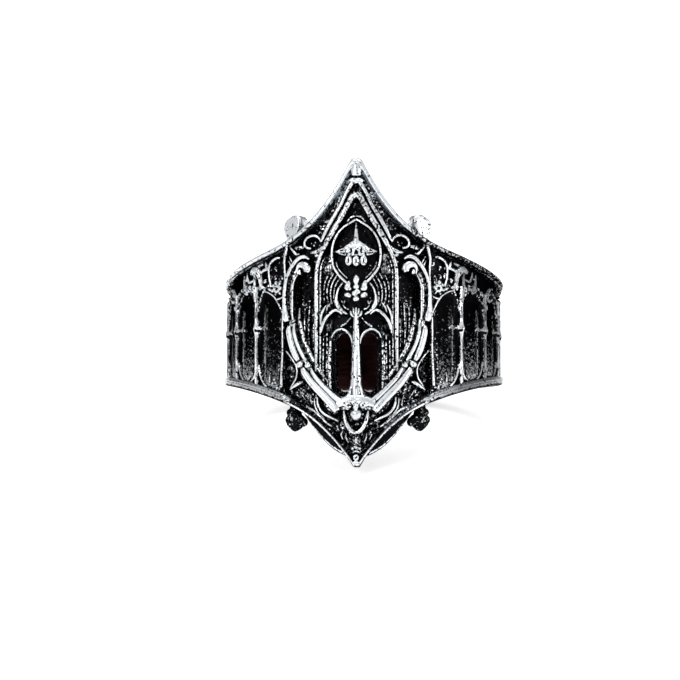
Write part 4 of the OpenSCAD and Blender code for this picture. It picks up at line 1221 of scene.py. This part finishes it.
class RING_OT_crockets(bpy.types.Operator):
    """Make the crockets that stand on the sloping edges"""

    bl_idname = "ring.crockets"
    bl_label = "Crockets"

    def execute(self, context):
        outline = [(5.15, 7.5), (4.88, 8.1), (4.83, 8.8), (5.1, 9.08), (5.65, 9.12), (6.3, 8.78),
                   (6.55, 8.45), (6.6, 7.9), (6.45, 7.45), (6.2, 7.0), (5.6, 7.1)]
        points, faces = [], []
        count = len(outline)
        middle = np.mean(outline, 0)
        for way in (-1, 1):
            first = len(points)
            # the block's outline from its back to its face, drawn in at both ends
            for radius, shrink in ((9.7, 0.86), (9.85, 1), (10.95, 1), (11.12, 0.84)):
                points += [(way * u, z, radius) for u, z in middle + (np.array(outline) - middle) * shrink]
            sides = grid_faces(4, count, closed=True)
            caps = [list(range(count)), [3 * count + i for i in reversed(range(count))]]
            faces += [[first + i for i in (f if way > 0 else f[::-1])] for f in sides + caps]
        blocks = flat_mesh("crockets", points, faces, worn=0.95, tarnish=0.08)
        bevel = blocks.modifiers.new("Soft edges", "BEVEL")
        bevel.width, bevel.segments = 0.06 * MM, 2
        finish(blocks, fold_tree(), sharp=35)
        lugs = mirrored(LUGS)
        cast("foot_crockets", lugs, voxel=0.06, base=10.9, crest=11.5, wear=(-0.1, 0.6), grey=0.15)
        return {"FINISHED"}


class RING_OT_stage(bpy.types.Operator):
    """Set the floor, the lights and the camera"""

    bl_idname = "ring.stage"
    bl_label = "Studio"

    def execute(self, context):
        scene, studio = context.scene, context.scene.ring_studio
        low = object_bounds()[0]
        floor = bpy.data.meshes.new("studio_floor")
        reach = 3  # metres to each side
        corners = [(x * reach, y * reach, low.z) for x, y in ((-1, -1), (1, -1), (1, 1), (-1, 1))]
        floor.from_pydata(corners, [], [(0, 1, 2, 3)])
        ground = put("studio_floor", floor)
        paint = bpy.data.materials.new("matt_white_paint")
        tree = empty_tree(paint)
        coat = add(tree, "ShaderNodeBsdfPrincipled", (*studio.floor, 1), 0.0, 0.85)
        coat.inputs["Emission Color"].default_value = (*studio.floor, 1)
        coat.inputs["Emission Strength"].default_value = studio.table
        add(tree, "ShaderNodeOutputMaterial", coat)
        floor.materials.append(paint)
        ground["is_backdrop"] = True
        world = bpy.data.worlds.new("studio_walls")
        tree = empty_tree(world)
        # the silver mirrors the room, which is darker round the camera and far behind the ring
        toward = add(tree, "ShaderNodeSeparateXYZ", add(tree, "ShaderNodeTexCoord").outputs["Generated"])
        near = ramp(tree, toward.outputs[1], -0.9, 0.3, studio.room, 1.25)
        beyond = ramp(tree, toward.outputs[1], 0.25, 0.65, 1.0, 0.4)
        glow = add(tree, "ShaderNodeBackground", (1, 1, 1, 1), calc(tree, "MULTIPLY", near, beyond))
        add(tree, "ShaderNodeOutputWorld", glow)
        scene.world = world
        for name, place, size, power in (
            ("key_softbox", (-0.16, -0.34, 0.22), 0.14, 0.45),
            ("fill_softbox", (0.32, -0.2, 0.1), 0.16, 0.3),
            ("top_softbox", (0.02, 0.02, 0.4), 0.22, 0.5),
        ):
            lamp = bpy.data.lights.new(name, "AREA")
            lamp.energy, lamp.size = power, size
            light = put(name, lamp)
            light.location = place
            light.rotation_euler = (-Vector(place)).to_track_quat("-Z", "Y").to_euler()
        eye = bpy.data.cameras.new("camera")
        eye.sensor_width = 36
        # in the plane through the ring's axis, the picture's pixels take in 56.19 mm
        pixels, view = 680, 56.19 * MM
        hole_x, hole_y = 363.98, 337.62  # where the middle of the finger hole is drawn
        eye.lens = eye.sensor_width * studio.distance / view
        eye.shift_x = (pixels / 2 - hole_x) / pixels
        eye.shift_y = (hole_y - pixels / 2) / pixels
        eye.clip_start, eye.clip_end = 0.01, 10
        camera = put("camera", eye)
        a, e = studio.azimuth, studio.elevation
        back = Vector((math.sin(a) * math.cos(e), -math.cos(a) * math.cos(e), math.sin(e)))
        camera.location = back * studio.distance
        roll = Quaternion((0, 0, 1), studio.roll)
        camera.rotation_euler = ((-back).to_track_quat("-Z", "Y") @ roll).to_euler()
        scene.camera = camera
        scene.view_settings.view_transform = "Standard"
        return {"FINISHED"}


class RING_PT_panel(bpy.types.Panel):
    """Sizes, finish and pieces of the ring"""

    bl_idname = "RING_PT_panel"
    bl_label = "Gothic Ring"
    bl_space_type = "VIEW_3D"
    bl_region_type = "UI"
    bl_category = "Ring"

    def draw(self, context):
        for title, settings in (
            ("Sizes", context.scene.ring_sizes),
            ("Finish", context.scene.ring_finish),
            ("Studio", context.scene.ring_studio),
        ):
            box = self.layout.box()
            box.label(text=title)
            for key in settings.__annotations__:
                box.prop(settings, key)
        for maker in PIECES:
            self.layout.operator(maker.bl_idname)


PIECES = (RING_OT_stage, RING_OT_body, RING_OT_ground, RING_OT_arcade, RING_OT_gable, RING_OT_shield,
          RING_OT_tracery, RING_OT_ornament, RING_OT_crockets)
CLASSES = (RingSizes, RingFinish, RingStudio, *PIECES, RING_PT_panel)


def register():
    for kind in CLASSES:
        bpy.utils.register_class(kind)
    bpy.types.Scene.ring_sizes = bpy.props.PointerProperty(type=RingSizes)
    bpy.types.Scene.ring_finish = bpy.props.PointerProperty(type=RingFinish)
    bpy.types.Scene.ring_studio = bpy.props.PointerProperty(type=RingStudio)


def unregister():
    del bpy.types.Scene.ring_studio, bpy.types.Scene.ring_finish, bpy.types.Scene.ring_sizes
    for kind in reversed(CLASSES):
        bpy.utils.unregister_class(kind)


def main():
    register()
    for maker in PIECES:
        group, name = maker.bl_idname.split(".")
        getattr(getattr(bpy.ops, group), name)()


if __name__ == "__main__":
    main()
